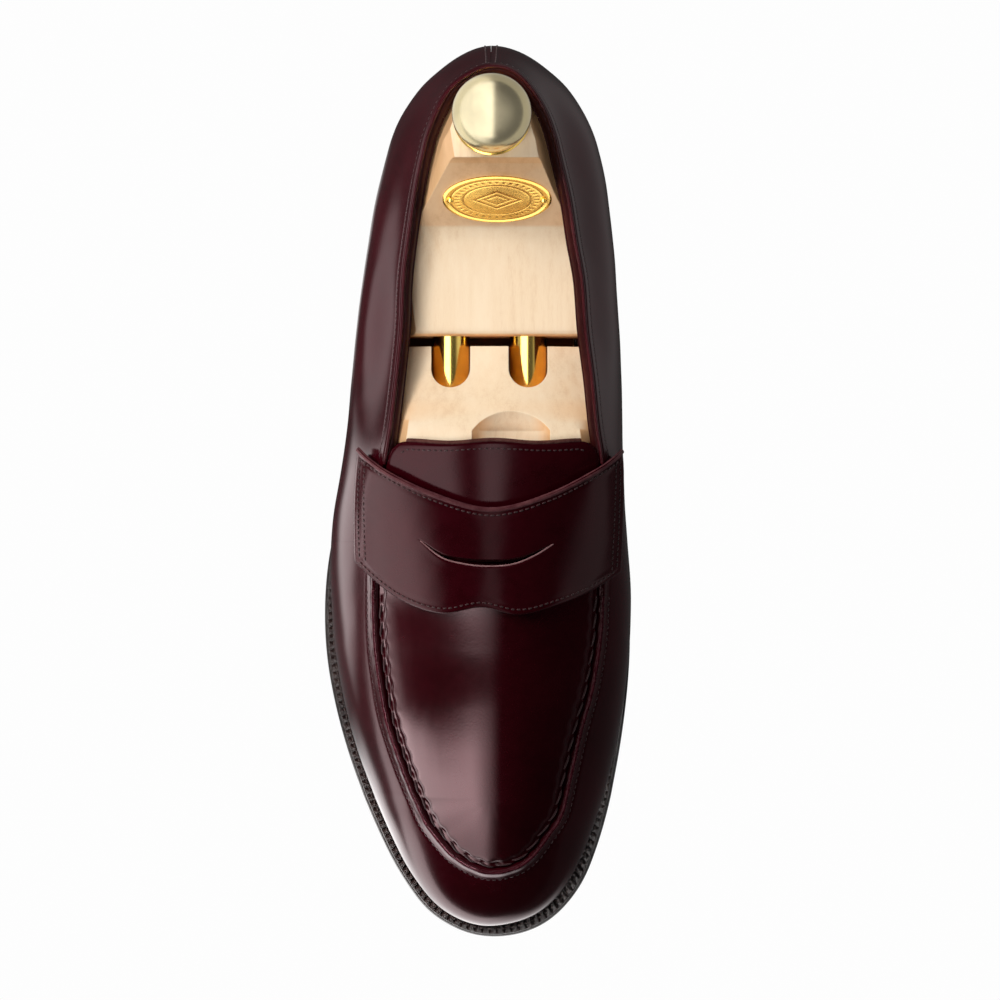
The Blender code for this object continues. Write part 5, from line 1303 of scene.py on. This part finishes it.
fys = np.concatenate([np.linspace(FORE_REAR, 19.0, 34), np.linspace(17.5, -99.0, 60)])
rings = [fore_section(y) for y in fys]
last = rings[-1]
for y, sc in ((-104, 0.93), (-108, 0.84), (-112, 0.68), (-114.8, 0.48), (-116, 0.28)):
    b = last.mean(0) + (last - last.mean(0)) * sc
    b[:, 1] = y
    b[:, 2] += 1.2
    rings.append(b)
fore_ob = piece("tree_fore_wood", *tube_data(np.array(rings)), M_WOOD, body="shoe", slot="beech", reps=("tree_forepart",), angle=35)
cuts = []
for gx in GUIDE_XS:
    cuts.append(lathe_data([(0.0, -20.0), (SLEEVE_R + 0.12, -20.0), (SLEEVE_R + 0.12, SLEEVE_TOP + 0.2), (BORE_R, SLEEVE_TOP + 0.2), (BORE_R, FORE_REAR + 2),
                            (0.0, FORE_REAR + 2)], (gx, 0, GUIDE_Z), "y", 64))
    rr = BORE_R
    pts = ([(gx - rr, FORE_REAR + 3), (gx - rr, 44.0)] + [(gx - rr * math.cos(t), 44.0 - rr * math.sin(t)) for t in np.linspace(0.12, math.pi - 0.12, 25)]
           + [(gx + rr, 44.0), (gx + rr, FORE_REAR + 3)])
    cuts.append(prism_data(pts, GUIDE_Z, 95.0, "z"))


def scoop_section(x):
    """Half-moon thumb scoop: a slope from an arc down to a straight valley, then a gentler rise towards the tongue."""
    dx = min(abs(x - SCOOP_X), SCOOP_W)
    run = max(math.sqrt(16.0 ** 2 - dx * dx) - 9.4, 0.02)
    yy = VALLEY + run
    top = float(spline1(FORE_TOP, yy)) - (5.5 + 1.5 * float(smoothstep(24, 34, yy))) * abs((x - X_AXIS) / 33.0) ** 2.1
    z0 = top - 0.62 * run
    return x, [(VALLEY, z0), (VALLEY + run + 8.0, top + 8.0 * 0.62), (VALLEY + run + 8.0, 96.0), (14.0, 96.0), (14.0, z0 + 0.25 * (VALLEY - 14.0))]


secs = [scoop_section(SCOOP_X + SCOOP_W * t) for t in np.sin(np.linspace(-1, 1, 49) * math.pi / 2) * 0.995]
nk = 5
V = np.array([(x, y, z) for x, pts in secs for y, z in pts])
F = [tuple(range(nk))[::-1], tuple((len(secs) - 1) * nk + k for k in range(nk))]
for i in range(len(secs) - 1):
    F += [(i * nk + k, i * nk + (k + 1) % nk, (i + 1) * nk + (k + 1) % nk, (i + 1) * nk + k) for k in range(nk)]
cuts.append((V, F))
boolean(fore_ob, cuts)
smooth(fore_ob, 32)


END_STEPS = np.array([0, 0.12, 0.3, 0.55, 0.85, 1.2, 1.6, 2.1, 2.7, 3.4])
HEEL_D = np.concatenate([u_lat(HEEL_FRONT) + END_STEPS, np.linspace(u_lat(HEEL_FRONT) + 4.5, u_med(HEEL_FRONT) - 4.5, 150), (u_med(HEEL_FRONT) - END_STEPS)[::-1]])
HEEL_C = wall(HEEL_D[:, None], np.linspace(0.06, 1.0, 40)[None, :], TREE_D)


def heel_loop(z):
    out = []
    for u, c in zip(HEEL_D, HEEL_C):
        ox, oy, dx, dy = ray(u)
        r = (c[:, 0] - ox) * dx + (c[:, 1] - oy) * dy
        k = np.interp(z, c[:, 2], r) if z <= c[-1, 2] else r[-1] - 0.25 * (z - c[-1, 2])
        x, y = at(u, k)
        x, y = float(x), max(float(y), HEEL_FRONT)
        g = max(0.0, 2.6 - (y - HEEL_FRONT))
        x += math.copysign(2.6 - math.sqrt(max(2.6 ** 2 - g * g, 0.0)), X_AXIS - x)
        out.append((x, y, z))
    return np.array(out)


hz = [33.1, 33.6, 35, 37.5, 40, 43, 46, 49, 52, 55, 58, 61, 64, 67, 70, 73, 76, 79, 82, 85, 87.2, 87.8, PLATFORM_Z]
loops = [heel_loop(z) for z in hz]
heel_ob = piece("tree_heel_wood", *tube_data(np.array(loops)), M_WOOD, body="heel_block", slot="beech", reps=("tree_heel_block",), angle=35)
RAMP = [(HEEL_FRONT, 57.42), (62, 57.6), (70, 58.2), (77, 59.2), (83, 60.7), (87.5, 62.3), (90.5, 64.0)]
curve = [(HEEL_FRONT - 3, 55.2), (HEEL_FRONT - 0.1, 55.35), (HEEL_FRONT + 0.15, 55.9), (HEEL_FRONT + 0.55, 56.5), (HEEL_FRONT + 1.1, 57.0), (HEEL_FRONT + 1.8, 57.33)]
curve += [(float(y), float(spline1(RAMP, y))) for y in np.linspace(HEEL_FRONT + 2.8, 90.0, 46)]
curve += [(90.5, 64.0), (91.5, 65.0), (110.2, 84.6), (111.2, 85.9), (111.8, 87.0), (112.0, 87.9), (112.2, 99.0), (HEEL_FRONT - 3, 99.0)]
hc = [prism_data(curve, -60, 60)]
for gx in GUIDE_XS:
    hc.append(lathe_data([(0.0, 40.0), (TUBE_R + 0.12, 40.0), (TUBE_R + 0.12, 84.4), (0.0, 84.4)], (gx, 0, GUIDE_Z), "y", 64))
hc.append(lathe_data([(0.0, 66.0), (2.3, 66.0), (2.3, 99.0), (0.0, 99.0)], (KNOB_XY[0], KNOB_XY[1], 0), "z", 32))


def half_space(pts, depth=40.0, size=60.0):
    """Solid on the outer side of the plane through three points."""
    a, b, c = (np.array(p, float) for p in pts)
    n = np.cross(b - a, c - a)
    n /= np.linalg.norm(n)
    n = n if n[2] > 0 else -n
    e = (c - a) / np.linalg.norm(c - a)
    g = np.cross(n, e)
    q = [a + e * i * size + g * j * size + n * k for k in (0.0, depth) for i, j in ((-1, -1), (1, -1), (1, 1), (-1, 1))]
    return np.array(q), [(3, 2, 1, 0), (4, 5, 6, 7), (0, 1, 5, 4), (1, 2, 6, 5), (2, 3, 7, 6), (3, 0, 4, 7)]


FACETS = [((-14.84, 112.1, 88.0), (-23.1, 100.3, 74.0), (-17.3, 127.4, 88.0)), ((13.63, 112.1, 88.0), (22.1, 99.3, 72.8), (11.4, 127.4, 88.0))]
hc += [half_space(p) for p in FACETS]
boolean(heel_ob, hc)
smooth(heel_ob, 30)

for gx, side in zip(GUIDE_XS, ("lateral", "medial")):
    piece("sleeve_" + side, *lathe_data([(0.0, SLEEVE_END), (SLEEVE_R - 0.3, SLEEVE_END), (SLEEVE_R, SLEEVE_END + 0.3), (SLEEVE_R, SLEEVE_TOP - 0.2), (SLEEVE_R - 0.2, SLEEVE_TOP),
          (SLEEVE_RI + 0.2, SLEEVE_TOP), (SLEEVE_RI, SLEEVE_TOP - 0.2), (SLEEVE_RI, SLEEVE_END + 1.2), (0.0, SLEEVE_END + 1.2)],
          (gx, 0, GUIDE_Z), "y"), M_BRASS, slot="brass", reps=("guide_sleeve_" + side,), angle=30)
    piece("tube_" + side, *lathe_data([(TUBE_RI, TUBE_END), (TUBE_R - 0.1, TUBE_END), (TUBE_R - 0.01, TUBE_END + 0.3), (TUBE_R - 0.01, 84.1), (TUBE_RI, 84.1)], (gx, 0, GUIDE_Z), "y"),
          M_BRASS, body="heel_block", slot="brass", reps=("guide_tube_" + side,), angle=30)

kx, ky = KNOB_XY
prof = [(2.5, 90.2), (6.3, 90.2), (6.4, 91.8), (6.9, 92.8), (8.6, 93.9), (10.6, 95.2), (12.0, 96.9), (12.75, 98.9), (12.9, 100.8), (12.6, 102.7), (11.8, 104.7), (10.5, 106.6), (8.6, 108.3),
        (6.2, 109.6), (3.4, 110.5), (1.2, 110.78), (0.0, 110.8)]
piece("knob_round", *lathe_data(prof + [(0.0, 101.0), (2.5, 101.0)], (kx, ky, 0), "z", 128), M_KNOB, body="heel_block", slot="knob_brass", reps=("knob",), angle=30)
piece("knob_flange", *lathe_data([(2.5, 88.3), (12.5, 88.3), (12.75, 88.6), (12.7, 89.3), (12.2, 89.8), (8.0, 89.95), (2.5, 89.95)], (kx, ky, 0), "z", 128), M_BRASS, body="heel_block",
      slot="brass", reps=("knob_collar",), angle=30)

# oval plate on the ramp, raised rim, engraved plain ornament
s0, s1 = np.array([90.5, 63.6]), np.array([109.0, 83.0])
tdir = (s1 - s0) / np.linalg.norm(s1 - s0)
nrm = np.array([-tdir[1], tdir[0]])
pc = s0 + (s1 - s0) * 0.50
PX, PY = 18.0, 10.2
PLATE_CX = -1.0


def on_ramp(x, s, h):
    return np.stack([x, pc[0] + tdir[0] * s + nrm[0] * h, pc[1] + tdir[1] * s + nrm[1] * h], -1)


def ornament(x, y):
    """Depth of a plain engraved design: ring of beads, a lozenge and horizontal flutes; no lettering."""
    rho = np.hypot(x / PX, y / PY)
    th = np.arctan2(y / PY, x / PX)
    g = 0.10 * np.exp(-((rho - 0.86) / 0.018) ** 2)
    g += 0.08 * np.exp(-((rho - 0.62) / 0.02) ** 2)
    g += 0.07 * (np.cos(th * 36) > 0.3) * np.exp(-((rho - 0.74) / 0.045) ** 4)
    loz = np.abs(x) / 7.5 + np.abs(y) / 3.6
    g += 0.12 * np.exp(-((loz - 1.0) / 0.09) ** 2) * (rho < 0.6)
    g += 0.08 * np.exp(-((loz - 0.55) / 0.10) ** 2)
    return g


rs = np.concatenate([np.linspace(0, 0.97, 66), [0.985, 0.995, 1.0]])
na_ = 288
th = np.arange(na_) * 2 * math.pi / na_
R, T = np.meshgrid(rs, th, indexing="ij")
X, Y = R * PX * np.cos(T), R * PY * np.sin(T)
rim = 0.12 * np.exp(-((R - 0.945) / 0.03) ** 2) - 0.25 * smoothstep(0.975, 1.0, R) ** 2
H = 1.0 + rim - 0.55 * ornament(X, Y)
top = on_ramp(PLATE_CX + X, Y, H)
bot = on_ramp(PLATE_CX + X[-1], Y[-1], np.full(na_, 0.3))
vv = np.vstack([top.reshape(-1, 3), bot])
ff = []
nr = len(rs)
for i in range(nr - 1):
    for k in range(na_):
        k2 = (k + 1) % na_
        ff.append((i * na_ + k, i * na_ + k2, (i + 1) * na_ + k2, (i + 1) * na_ + k))
for k in range(na_):
    k2 = (k + 1) % na_
    ff.append(((nr - 1) * na_ + k, (nr - 1) * na_ + k2, nr * na_ + k2, nr * na_ + k))
ff.append(tuple(nr * na_ + k for k in range(na_))[::-1])
plate_ob = piece("plate_oval", vv, ff, M_PLATE, body="heel_block", slot="brass", reps=("name_plate",), angle=50)
pv = np.empty(len(plate_ob.data.vertices) * 3)
plate_ob.data.vertices.foreach_get("co", pv)
pv = pv.reshape(-1, 3) / MM - np.array([SHIFT[0], SHIFT[1], 0.0])
px_ = pv[:, 0] - PLATE_CX
py_ = (pv[:, 1] - pc[0]) * tdir[0] + (pv[:, 2] - pc[1]) * tdir[1]
# painted shade: a broad darker patch right of the plate's centre, added to the engraving's patina attribute
shade = 0.45 * np.exp(-(((px_ - 3.5) / 7.0) ** 2 + ((py_ - 4.5) / 3.6) ** 2) ** 2)
at_p = plate_ob.data.attributes.new("engrave_and_shade", "FLOAT", "POINT")
at_p.data.foreach_set("value", np.asarray(np.clip(ornament(px_, py_) * 9.0 + shade, 0, 0.95), np.float32))
for cx, nm in ((-16.4, "lateral"), (14.4, "medial")):
    v, f = [], []
    pr = [(1.15, 1.0), (1.15, 1.25), (1.0, 1.55), (0.75, 1.8), (0.4, 1.95), (0.05, 2.0)]
    for r, h in pr:
        a = np.arange(32) * 2 * math.pi / 32
        v.append(on_ramp(cx + r * np.cos(a), r * np.sin(a), np.full(32, h)))
    v, f = tube_data(np.stack(v, 0))
    piece("pin_" + nm, v, f, M_BRASS, body="heel_block", slot="brass", reps=("plate_pin_" + nm,), angle=40)

# springs: the coils of the CAD as pieces of their own
for side in ("lateral", "medial"):
    src = frame["nodes"]["spring_" + side]
    co = np.array([src.matrix_world @ v.co for v in src.data.vertices])
    cv = co / MM - np.array(SH)
    coil = piece("coil_" + side, cv, [tuple(pl.vertices) for pl in src.data.polygons], M_STEEL, body="shoe", slot="steel", reps=("spring_" + side,), angle=60)
    y0, y1 = co[:, 1].min(), co[:, 1].max()
    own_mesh(coil)

# ================================================================ stage
me = bpy.data.meshes.new("floor")
fa = np.concatenate([[-6, -3, -1.5, -0.9], np.linspace(-0.6, 0.6, 121), [0.9, 1.5, 3, 6]])
nf = len(fa)
FX, FY = np.meshgrid(fa, fa)
me.from_pydata(np.stack([FX.ravel(), FY.ravel(), np.full(nf * nf, -0.0006)], -1).tolist(), [],
               [(r * nf + c, r * nf + c + 1, (r + 1) * nf + c + 1, (r + 1) * nf + c) for r in range(nf - 1) for c in range(nf - 1)])


def floor_glow(x, y):
    """How bright each spot of the pale floor looks in the shoe's gloss; mm."""
    q = np.sqrt((x / 56.0) ** 2 + (y / 155.0) ** 2)
    lft = 1 - smoothstep(-60.0, 20.0, x)
    front = 1 - smoothstep(-70.0, 10.0, y)
    near = 3.0 * (1 - smoothstep(1.35, 1.75, q)) * lft * (1 - smoothstep(-115.0, -80.0, y))
    toe = 3.4 * (1 - smoothstep(-165.0, -145.0, y)) * (1 - smoothstep(-15.0, 70.0, x)) * smoothstep(-420.0, -320.0, y)
    mid = 3.0 * smoothstep(-260.0, -190.0, x) * (1 - smoothstep(-110.0, -85.0, x)) * smoothstep(-95.0, -50.0, y) * (1 - smoothstep(5.0, 45.0, y))
    heel = 0.8 * (1 - smoothstep(1.15, 1.4, q)) * lft * smoothstep(30.0, 70.0, y) * (1 - smoothstep(95.0, 135.0, y))
    back = 1.6 * lft * smoothstep(5.0, 40.0, y) * (1 - smoothstep(170.0, 230.0, y)) * (0.03 + 0.97 * (1 - smoothstep(-225.0, -150.0, x))) * smoothstep(1.15, 1.7, q)
    rest_left = 0.12 * lft * front
    right = 0.26 * (1 - lft) * smoothstep(-20.0, 60.0, y) * smoothstep(1.2, 2.0, q)
    return np.maximum.reduce([near, toe, mid, heel, back, rest_left, right]) + 0.03


floor = bpy.data.objects.new("floor", me)
bpy.context.scene.collection.objects.link(floor)
fm = bpy.data.materials.new("floor_white")
fm.use_nodes = True
nt = fm.node_tree
for nd in list(nt.nodes):
    nt.nodes.remove(nd)


def math_node(tree, op, a, b=None):
    n = tree.nodes.new("ShaderNodeMath")
    n.operation = op
    for k, v in enumerate((a, b)):
        if v is None:
            continue
        if isinstance(v, (int, float)):
            n.inputs[k].default_value = v
        else:
            tree.links.new(v, n.inputs[k])
    return n.outputs[0]


def map_range(tree, v, a, b, c, d):
    n = tree.nodes.new("ShaderNodeMapRange")
    n.interpolation_type = "SMOOTHSTEP"
    tree.links.new(v, n.inputs["Value"])
    for k, t in (("From Min", a), ("From Max", b), ("To Min", c), ("To Max", d)):
        n.inputs[k].default_value = t
    return n.outputs["Result"]


glo = 0.02
lp = nt.nodes.new("ShaderNodeLightPath")
dif = math_node(nt, "ADD", math_node(nt, "MULTIPLY", lp.outputs["Is Glossy Ray"], glo), math_node(nt, "MULTIPLY", math_node(nt, "SUBTRACT", 1.0, lp.outputs["Is Glossy Ray"]), 0.50))
out = nt.nodes.new("ShaderNodeOutputMaterial")
mixs = nt.nodes.new("ShaderNodeMixShader")
em = nt.nodes.new("ShaderNodeEmission")
em.inputs[0].default_value = (0.985, 0.985, 0.985, 1)
em2 = nt.nodes.new("ShaderNodeEmission")
em2.inputs[0].default_value = (1, 0.99, 0.985, 1)
nt.links.new(dif, em2.inputs[1])
nt.links.new(lp.outputs["Is Camera Ray"], mixs.inputs[0])
nt.links.new(em2.outputs[0], mixs.inputs[1])
nt.links.new(em.outputs[0], mixs.inputs[2])
nt.links.new(mixs.outputs[0], out.inputs[0])
floor.data.materials.append(fm)
floor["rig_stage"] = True

scene = bpy.context.scene
world = bpy.data.worlds.new("studio")
scene.world = world
world.use_nodes = True
wt = world.node_tree
for nd in list(wt.nodes):
    wt.nodes.remove(nd)
wo = wt.nodes.new("ShaderNodeOutputWorld")
wm = wt.nodes.new("ShaderNodeMixShader")
wl = wt.nodes.new("ShaderNodeLightPath")
wb = wt.nodes.new("ShaderNodeBackground")
wb.inputs[0].default_value = (0.985, 0.985, 0.985, 1)
wb2 = wt.nodes.new("ShaderNodeBackground")
wb2.inputs[0].default_value = (1.0, 0.985, 0.97, 1)
wt.links.new(math_node(wt, "SUBTRACT", 0.14, math_node(wt, "MULTIPLY", wl.outputs["Is Glossy Ray"], 0.13)), wb2.inputs[1])
wt.links.new(wl.outputs["Is Camera Ray"], wm.inputs[0])
wt.links.new(wb2.outputs[0], wm.inputs[1])
wt.links.new(wb.outputs[0], wm.inputs[2])
wt.links.new(wm.outputs[0], wo.inputs[0])

# ---------------------------------------------------------------- reflected softboxes
# Each dome shows its group of pieces its own panels; x and y are degrees from straight up, towards +X and +Y.


def box_light(x, y, x0, x1, y0, y1, s=4.0, sx0=None, sx1=None):
    a = smoothstep(x0 - (sx0 or s), x0 + (sx0 or s), x) * (1 - smoothstep(x1 - (sx1 or s), x1 + (sx1 or s), x))
    return a * smoothstep(y0 - s, y0 + s, y) * (1 - smoothstep(y1 - s, y1 + s, y))


def glow_mesh(name, verts, faces, val, receivers, tint):
    me = bpy.data.meshes.new(name)
    me.from_pydata(verts, [], faces)
    at_ = me.attributes.new("glow", "FLOAT", "POINT")
    at_.data.foreach_set("value", np.asarray(val, np.float32))
    ob = bpy.data.objects.new(name, me)
    bpy.context.scene.collection.objects.link(ob)
    m = bpy.data.materials.new(name)
    m.use_nodes = True
    t = m.node_tree
    for nd in list(t.nodes):
        t.nodes.remove(nd)
    o = t.nodes.new("ShaderNodeOutputMaterial")
    ad = t.nodes.new("ShaderNodeAddShader")
    e = t.nodes.new("ShaderNodeEmission")
    tr = t.nodes.new("ShaderNodeBsdfTransparent")
    an = t.nodes.new("ShaderNodeAttribute")
    an.attribute_name = "glow"
    e.inputs[0].default_value = (*tint, 1)
    t.links.new(an.outputs["Fac"], e.inputs[1])
    t.links.new(e.outputs[0], ad.inputs[0])
    t.links.new(tr.outputs[0], ad.inputs[1])
    t.links.new(ad.outputs[0], o.inputs[0])
    me.materials.append(m)
    ob.visible_camera = ob.visible_diffuse = ob.visible_shadow = ob.visible_transmission = ob.visible_volume_scatter = False
    ob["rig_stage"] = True
    col = bpy.data.collections.new("lit_by_" + name)
    for r in receivers:
        col.objects.link(r)
    ob.light_linking.receiver_collection = col
    return ob


def dome(name, fun, receivers, radius, tint=(1, 0.985, 0.975)):
    nr_, na = 34, 96
    th = np.radians(np.linspace(0.0, 92.0, nr_ + 1))
    ph = np.arange(na) * 2 * math.pi / na
    T, P = np.meshgrid(th[1:], ph, indexing="ij")
    v = np.stack([np.sin(T) * np.cos(P), np.sin(T) * np.sin(P), np.cos(T)], -1).reshape(-1, 3)
    v = np.vstack([[[0, 0, 1.0]], v])
    f = [(0, 1 + (k + 1) % na, 1 + k) for k in range(na)]
    for i in range(nr_ - 1):
        for k in range(na):
            a, b = 1 + i * na, 1 + (i + 1) * na
            f.append((a + k, a + (k + 1) % na, b + (k + 1) % na, b + k))
    th_v = np.degrees(np.arccos(np.clip(v[:, 2], -1, 1)))
    ph_v = np.arctan2(v[:, 1], v[:, 0])
    val = np.maximum(fun(th_v * np.cos(ph_v), th_v * np.sin(ph_v)), 0.0)
    return glow_mesh(name, (v * radius + np.array([0, 0, 0.03])).tolist(), f, val, receivers, tint)


def objs(*names):
    return [bpy.data.objects[n] for n in names if n in bpy.data.objects]


def glow_apron(x, y):
    top = -16.3 + 0.19 * np.clip(x, -50, 0)
    a = smoothstep(-94, -82, x) * (1 - smoothstep(-21, 9, x)) * (1 - smoothstep(top - 7.5, top + 0.5, y))
    a = a * (6.3 - 3.4 * (1 - smoothstep(-68, -32, y))) * smoothstep(-100, -84, y)
    b = 1.7 * box_light(x, y, -100, -75, -70, -6, 4)
    return a + b + 0.01


def glow_strap(x, y):
    a = 2.0 * box_light(x, y, -100, -42, -75, -12, 6, 8, 14)
    b = 0.40 * box_light(x, y, -4.0, 4.5, -60, -8, 2.5)
    c = 0.26 * box_light(x, y, 52, 100, -75, 0, 8)
    return a + b + c + 0.01


def glow_tongue(x, y):
    a = 1.45 * box_light(x, y, -70, -17, -75, -12, 4, 8, 5)
    b = 1.3 * box_light(x, y, -4, 4.5, -75, -8, 2.0)
    return a + b + 0.01


def glow_wall(x, y):
    side = 0.35 * box_light(x, y, -92, -40, -34, -6, 8)
    return 0.35 * box_light(x, y, -20, 40, -40, 40, 8) + side + 0.01


def glow_crest(x, y):
    return 4.2 * box_light(x, y, -22, 40, -30, 60, 7, 8, 14) + 0.02


def glow_crest_far(x, y):
    return 0.5 * box_light(x, y, -60, 10, -40, 50, 8) + 0.02


def glow_metal(x, y):
    strip = 4.6 * box_light(x, y, -43, -3, -92, 92, 4)
    gold = 0.34 + 0.30 * (1 - smoothstep(-62, -46, x)) * smoothstep(-88, -70, x) + 0.46 * smoothstep(30, 46, x) * (1 - smoothstep(74, 90, x))
    dark = box_light(x, y, -3, 30, -92, 92, 5)
    return strip + gold - 0.22 * dark


def glow_welt(x, y):
    return 1.3 * box_light(x, y, -75, 70, -78, 40, 10) + 0.02


def glow_knob(x, y):
    strip = 1.32 * box_light(x, y, -50, 5, -66, 86, 4, 10, 3)
    r = np.hypot(x, y)
    lft = 1 - smoothstep(-30, 12, x)
    low = 1 - smoothstep(-100, -50, y)
    return np.maximum(strip, 1.18 * lft) * (1 - 0.45 * low) + (1 - lft) * (0.34 - 0.24 * smoothstep(15, 70, r)) + 0.04


def glow_plate(x, y):
    return 3.0 - 1.2 * smoothstep(-20, 20, x) + 0.5 * smoothstep(25, 60, x)


groups = {"welt": objs("welt_strip", "welt_stitching", "outsole_leather"), "crest": objs("ridge_crest_lateral"), "crest_far": objs("ridge_crest_medial"),
          "apron": objs("apron_plug"), "strap": objs("strap_saddle", "strap_stitching", "strap_raw_edge", "slot_raw_edge"),
          "tongue": objs("tongue_top", "tongue_stitching", "tongue_raw_edge"),
          "knob": objs("knob_round"),
          "plate": objs("plate_oval"),
          "metal": objs("knob_flange", "pin_lateral", "pin_medial", "tube_lateral", "tube_medial", "sleeve_lateral", "sleeve_medial")}
taken = {o.name for g in groups.values() for o in g}
rest = [o for o in bpy.data.objects if o.type == "MESH" and o.name not in taken and not o.get("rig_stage") and o.name not in frame["nodes"]]
dome("dome_apron", glow_apron, groups["apron"], 2.00)
dome("dome_strap", glow_strap, groups["strap"], 2.05, (1, 0.99, 0.97))
dome("dome_tongue", glow_tongue, groups["tongue"], 2.10)
dome("dome_knob", glow_knob, groups["knob"], 2.15, (1, 1.0, 1.08))
dome("dome_plate", glow_plate, groups["plate"], 2.17, (1, 0.98, 0.95))
dome("dome_metal", glow_metal, groups["metal"], 2.20, (1, 0.98, 0.95))
dome("dome_rest", glow_wall, rest, 2.25)
dome("dome_welt", glow_welt, groups["welt"], 2.40)
dome("dome_crest", glow_crest, groups["crest"], 2.30, (1, 0.95, 0.96))
dome("dome_crest_far", glow_crest_far, groups["crest_far"], 2.35)
dull = rest + groups["apron"] + groups["strap"] + groups["tongue"] + groups["crest"] + groups["crest_far"] + groups["welt"]
shiny = groups["plate"] + groups["metal"]
ff_ = [(r * nf + c, r * nf + c + 1, (r + 1) * nf + c + 1, (r + 1) * nf + c) for r in range(nf - 1) for c in range(nf - 1)]
glow_mesh("floor_gloss", np.stack([FX.ravel(), FY.ravel(), np.full(nf * nf, -0.0004)], -1).tolist(), ff_,
          floor_glow(FX.ravel() * 1000, FY.ravel() * 1000), dull, (1, 0.99, 0.985))
glow_mesh("floor_gloss_knob", np.stack([FX.ravel(), FY.ravel(), np.full(nf * nf, -0.00035)], -1).tolist(), ff_,
          0.38 + 0.55 * (1 - smoothstep(-60.0, 20.0, FX.ravel() * 1000)) * smoothstep(-300.0, -60.0, FY.ravel() * 1000), objs("knob_round"), (1, 0.98, 0.95))
glow_mesh("floor_gloss_metal", [(-6.0, -6.0, -0.0003), (6.0, -6.0, -0.0003), (6.0, 6.0, -0.0003), (-6.0, 6.0, -0.0003)], [(0, 1, 2, 3)],
          [0.42] * 4, shiny, (1, 0.98, 0.95))


def area(name, loc, target, size, power, colour=(1, 1, 1), size_y=None, glossy=False, only=None):
    ld = bpy.data.lights.new(name, "AREA")
    ld.shape = "RECTANGLE"
    ld.size, ld.size_y = size, size_y or size
    ld.energy = power
    ld.color = colour
    lo = bpy.data.objects.new(name, ld)
    bpy.context.scene.collection.objects.link(lo)
    lo.location = loc
    lo.rotation_euler = (Vector(target) - Vector(loc)).to_track_quat("-Z", "Y").to_euler()
    lo.visible_glossy = glossy
    if only:
        col = bpy.data.collections.new("lit_by_" + name)
        for r in only:
            col.objects.link(r)
        lo.light_linking.receiver_collection = col
    return lo


bright = objs("tree_fore_wood", "tree_heel_wood") + groups["knob"] + groups["metal"] + groups["plate"]
matt = [o for o in bpy.data.objects if o.type == "MESH" and o not in bright and not o.get("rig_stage") and not o.name.startswith(("dome_", "floor"))]
area("key_back", (-0.55, 0.85, 1.35), (0, 0.03, 0.04), 0.5, 19, (1.0, 0.98, 0.955), 0.5, only=bright)
area("key_top", (-0.30, -0.40, 1.6), (0, 0, 0.04), 0.5, 11, (1.0, 0.98, 0.955), 0.5, only=bright)
area("key_leather", (-1.15, 0.55, 0.95), (0, -0.02, 0.05), 0.8, 24, (1.0, 0.97, 0.95), 0.8, only=matt)

cam_d = bpy.data.cameras.new("camera")
cam = bpy.data.objects.new("camera", cam_d)
scene.collection.objects.link(cam)
cam.location = (SHIFT[0] * MM, SHIFT[1] * MM, 1.400)
cam.rotation_euler = (0, 0, 0)
cam_d.sensor_width = 36.0
cam_d.lens = 36.0 * 1400.0 / 348.7
cam_d.clip_start, cam_d.clip_end = 0.05, 20
scene.camera = cam
scene.view_settings.view_transform = "Standard"
scene.view_settings.look = "None"

import json
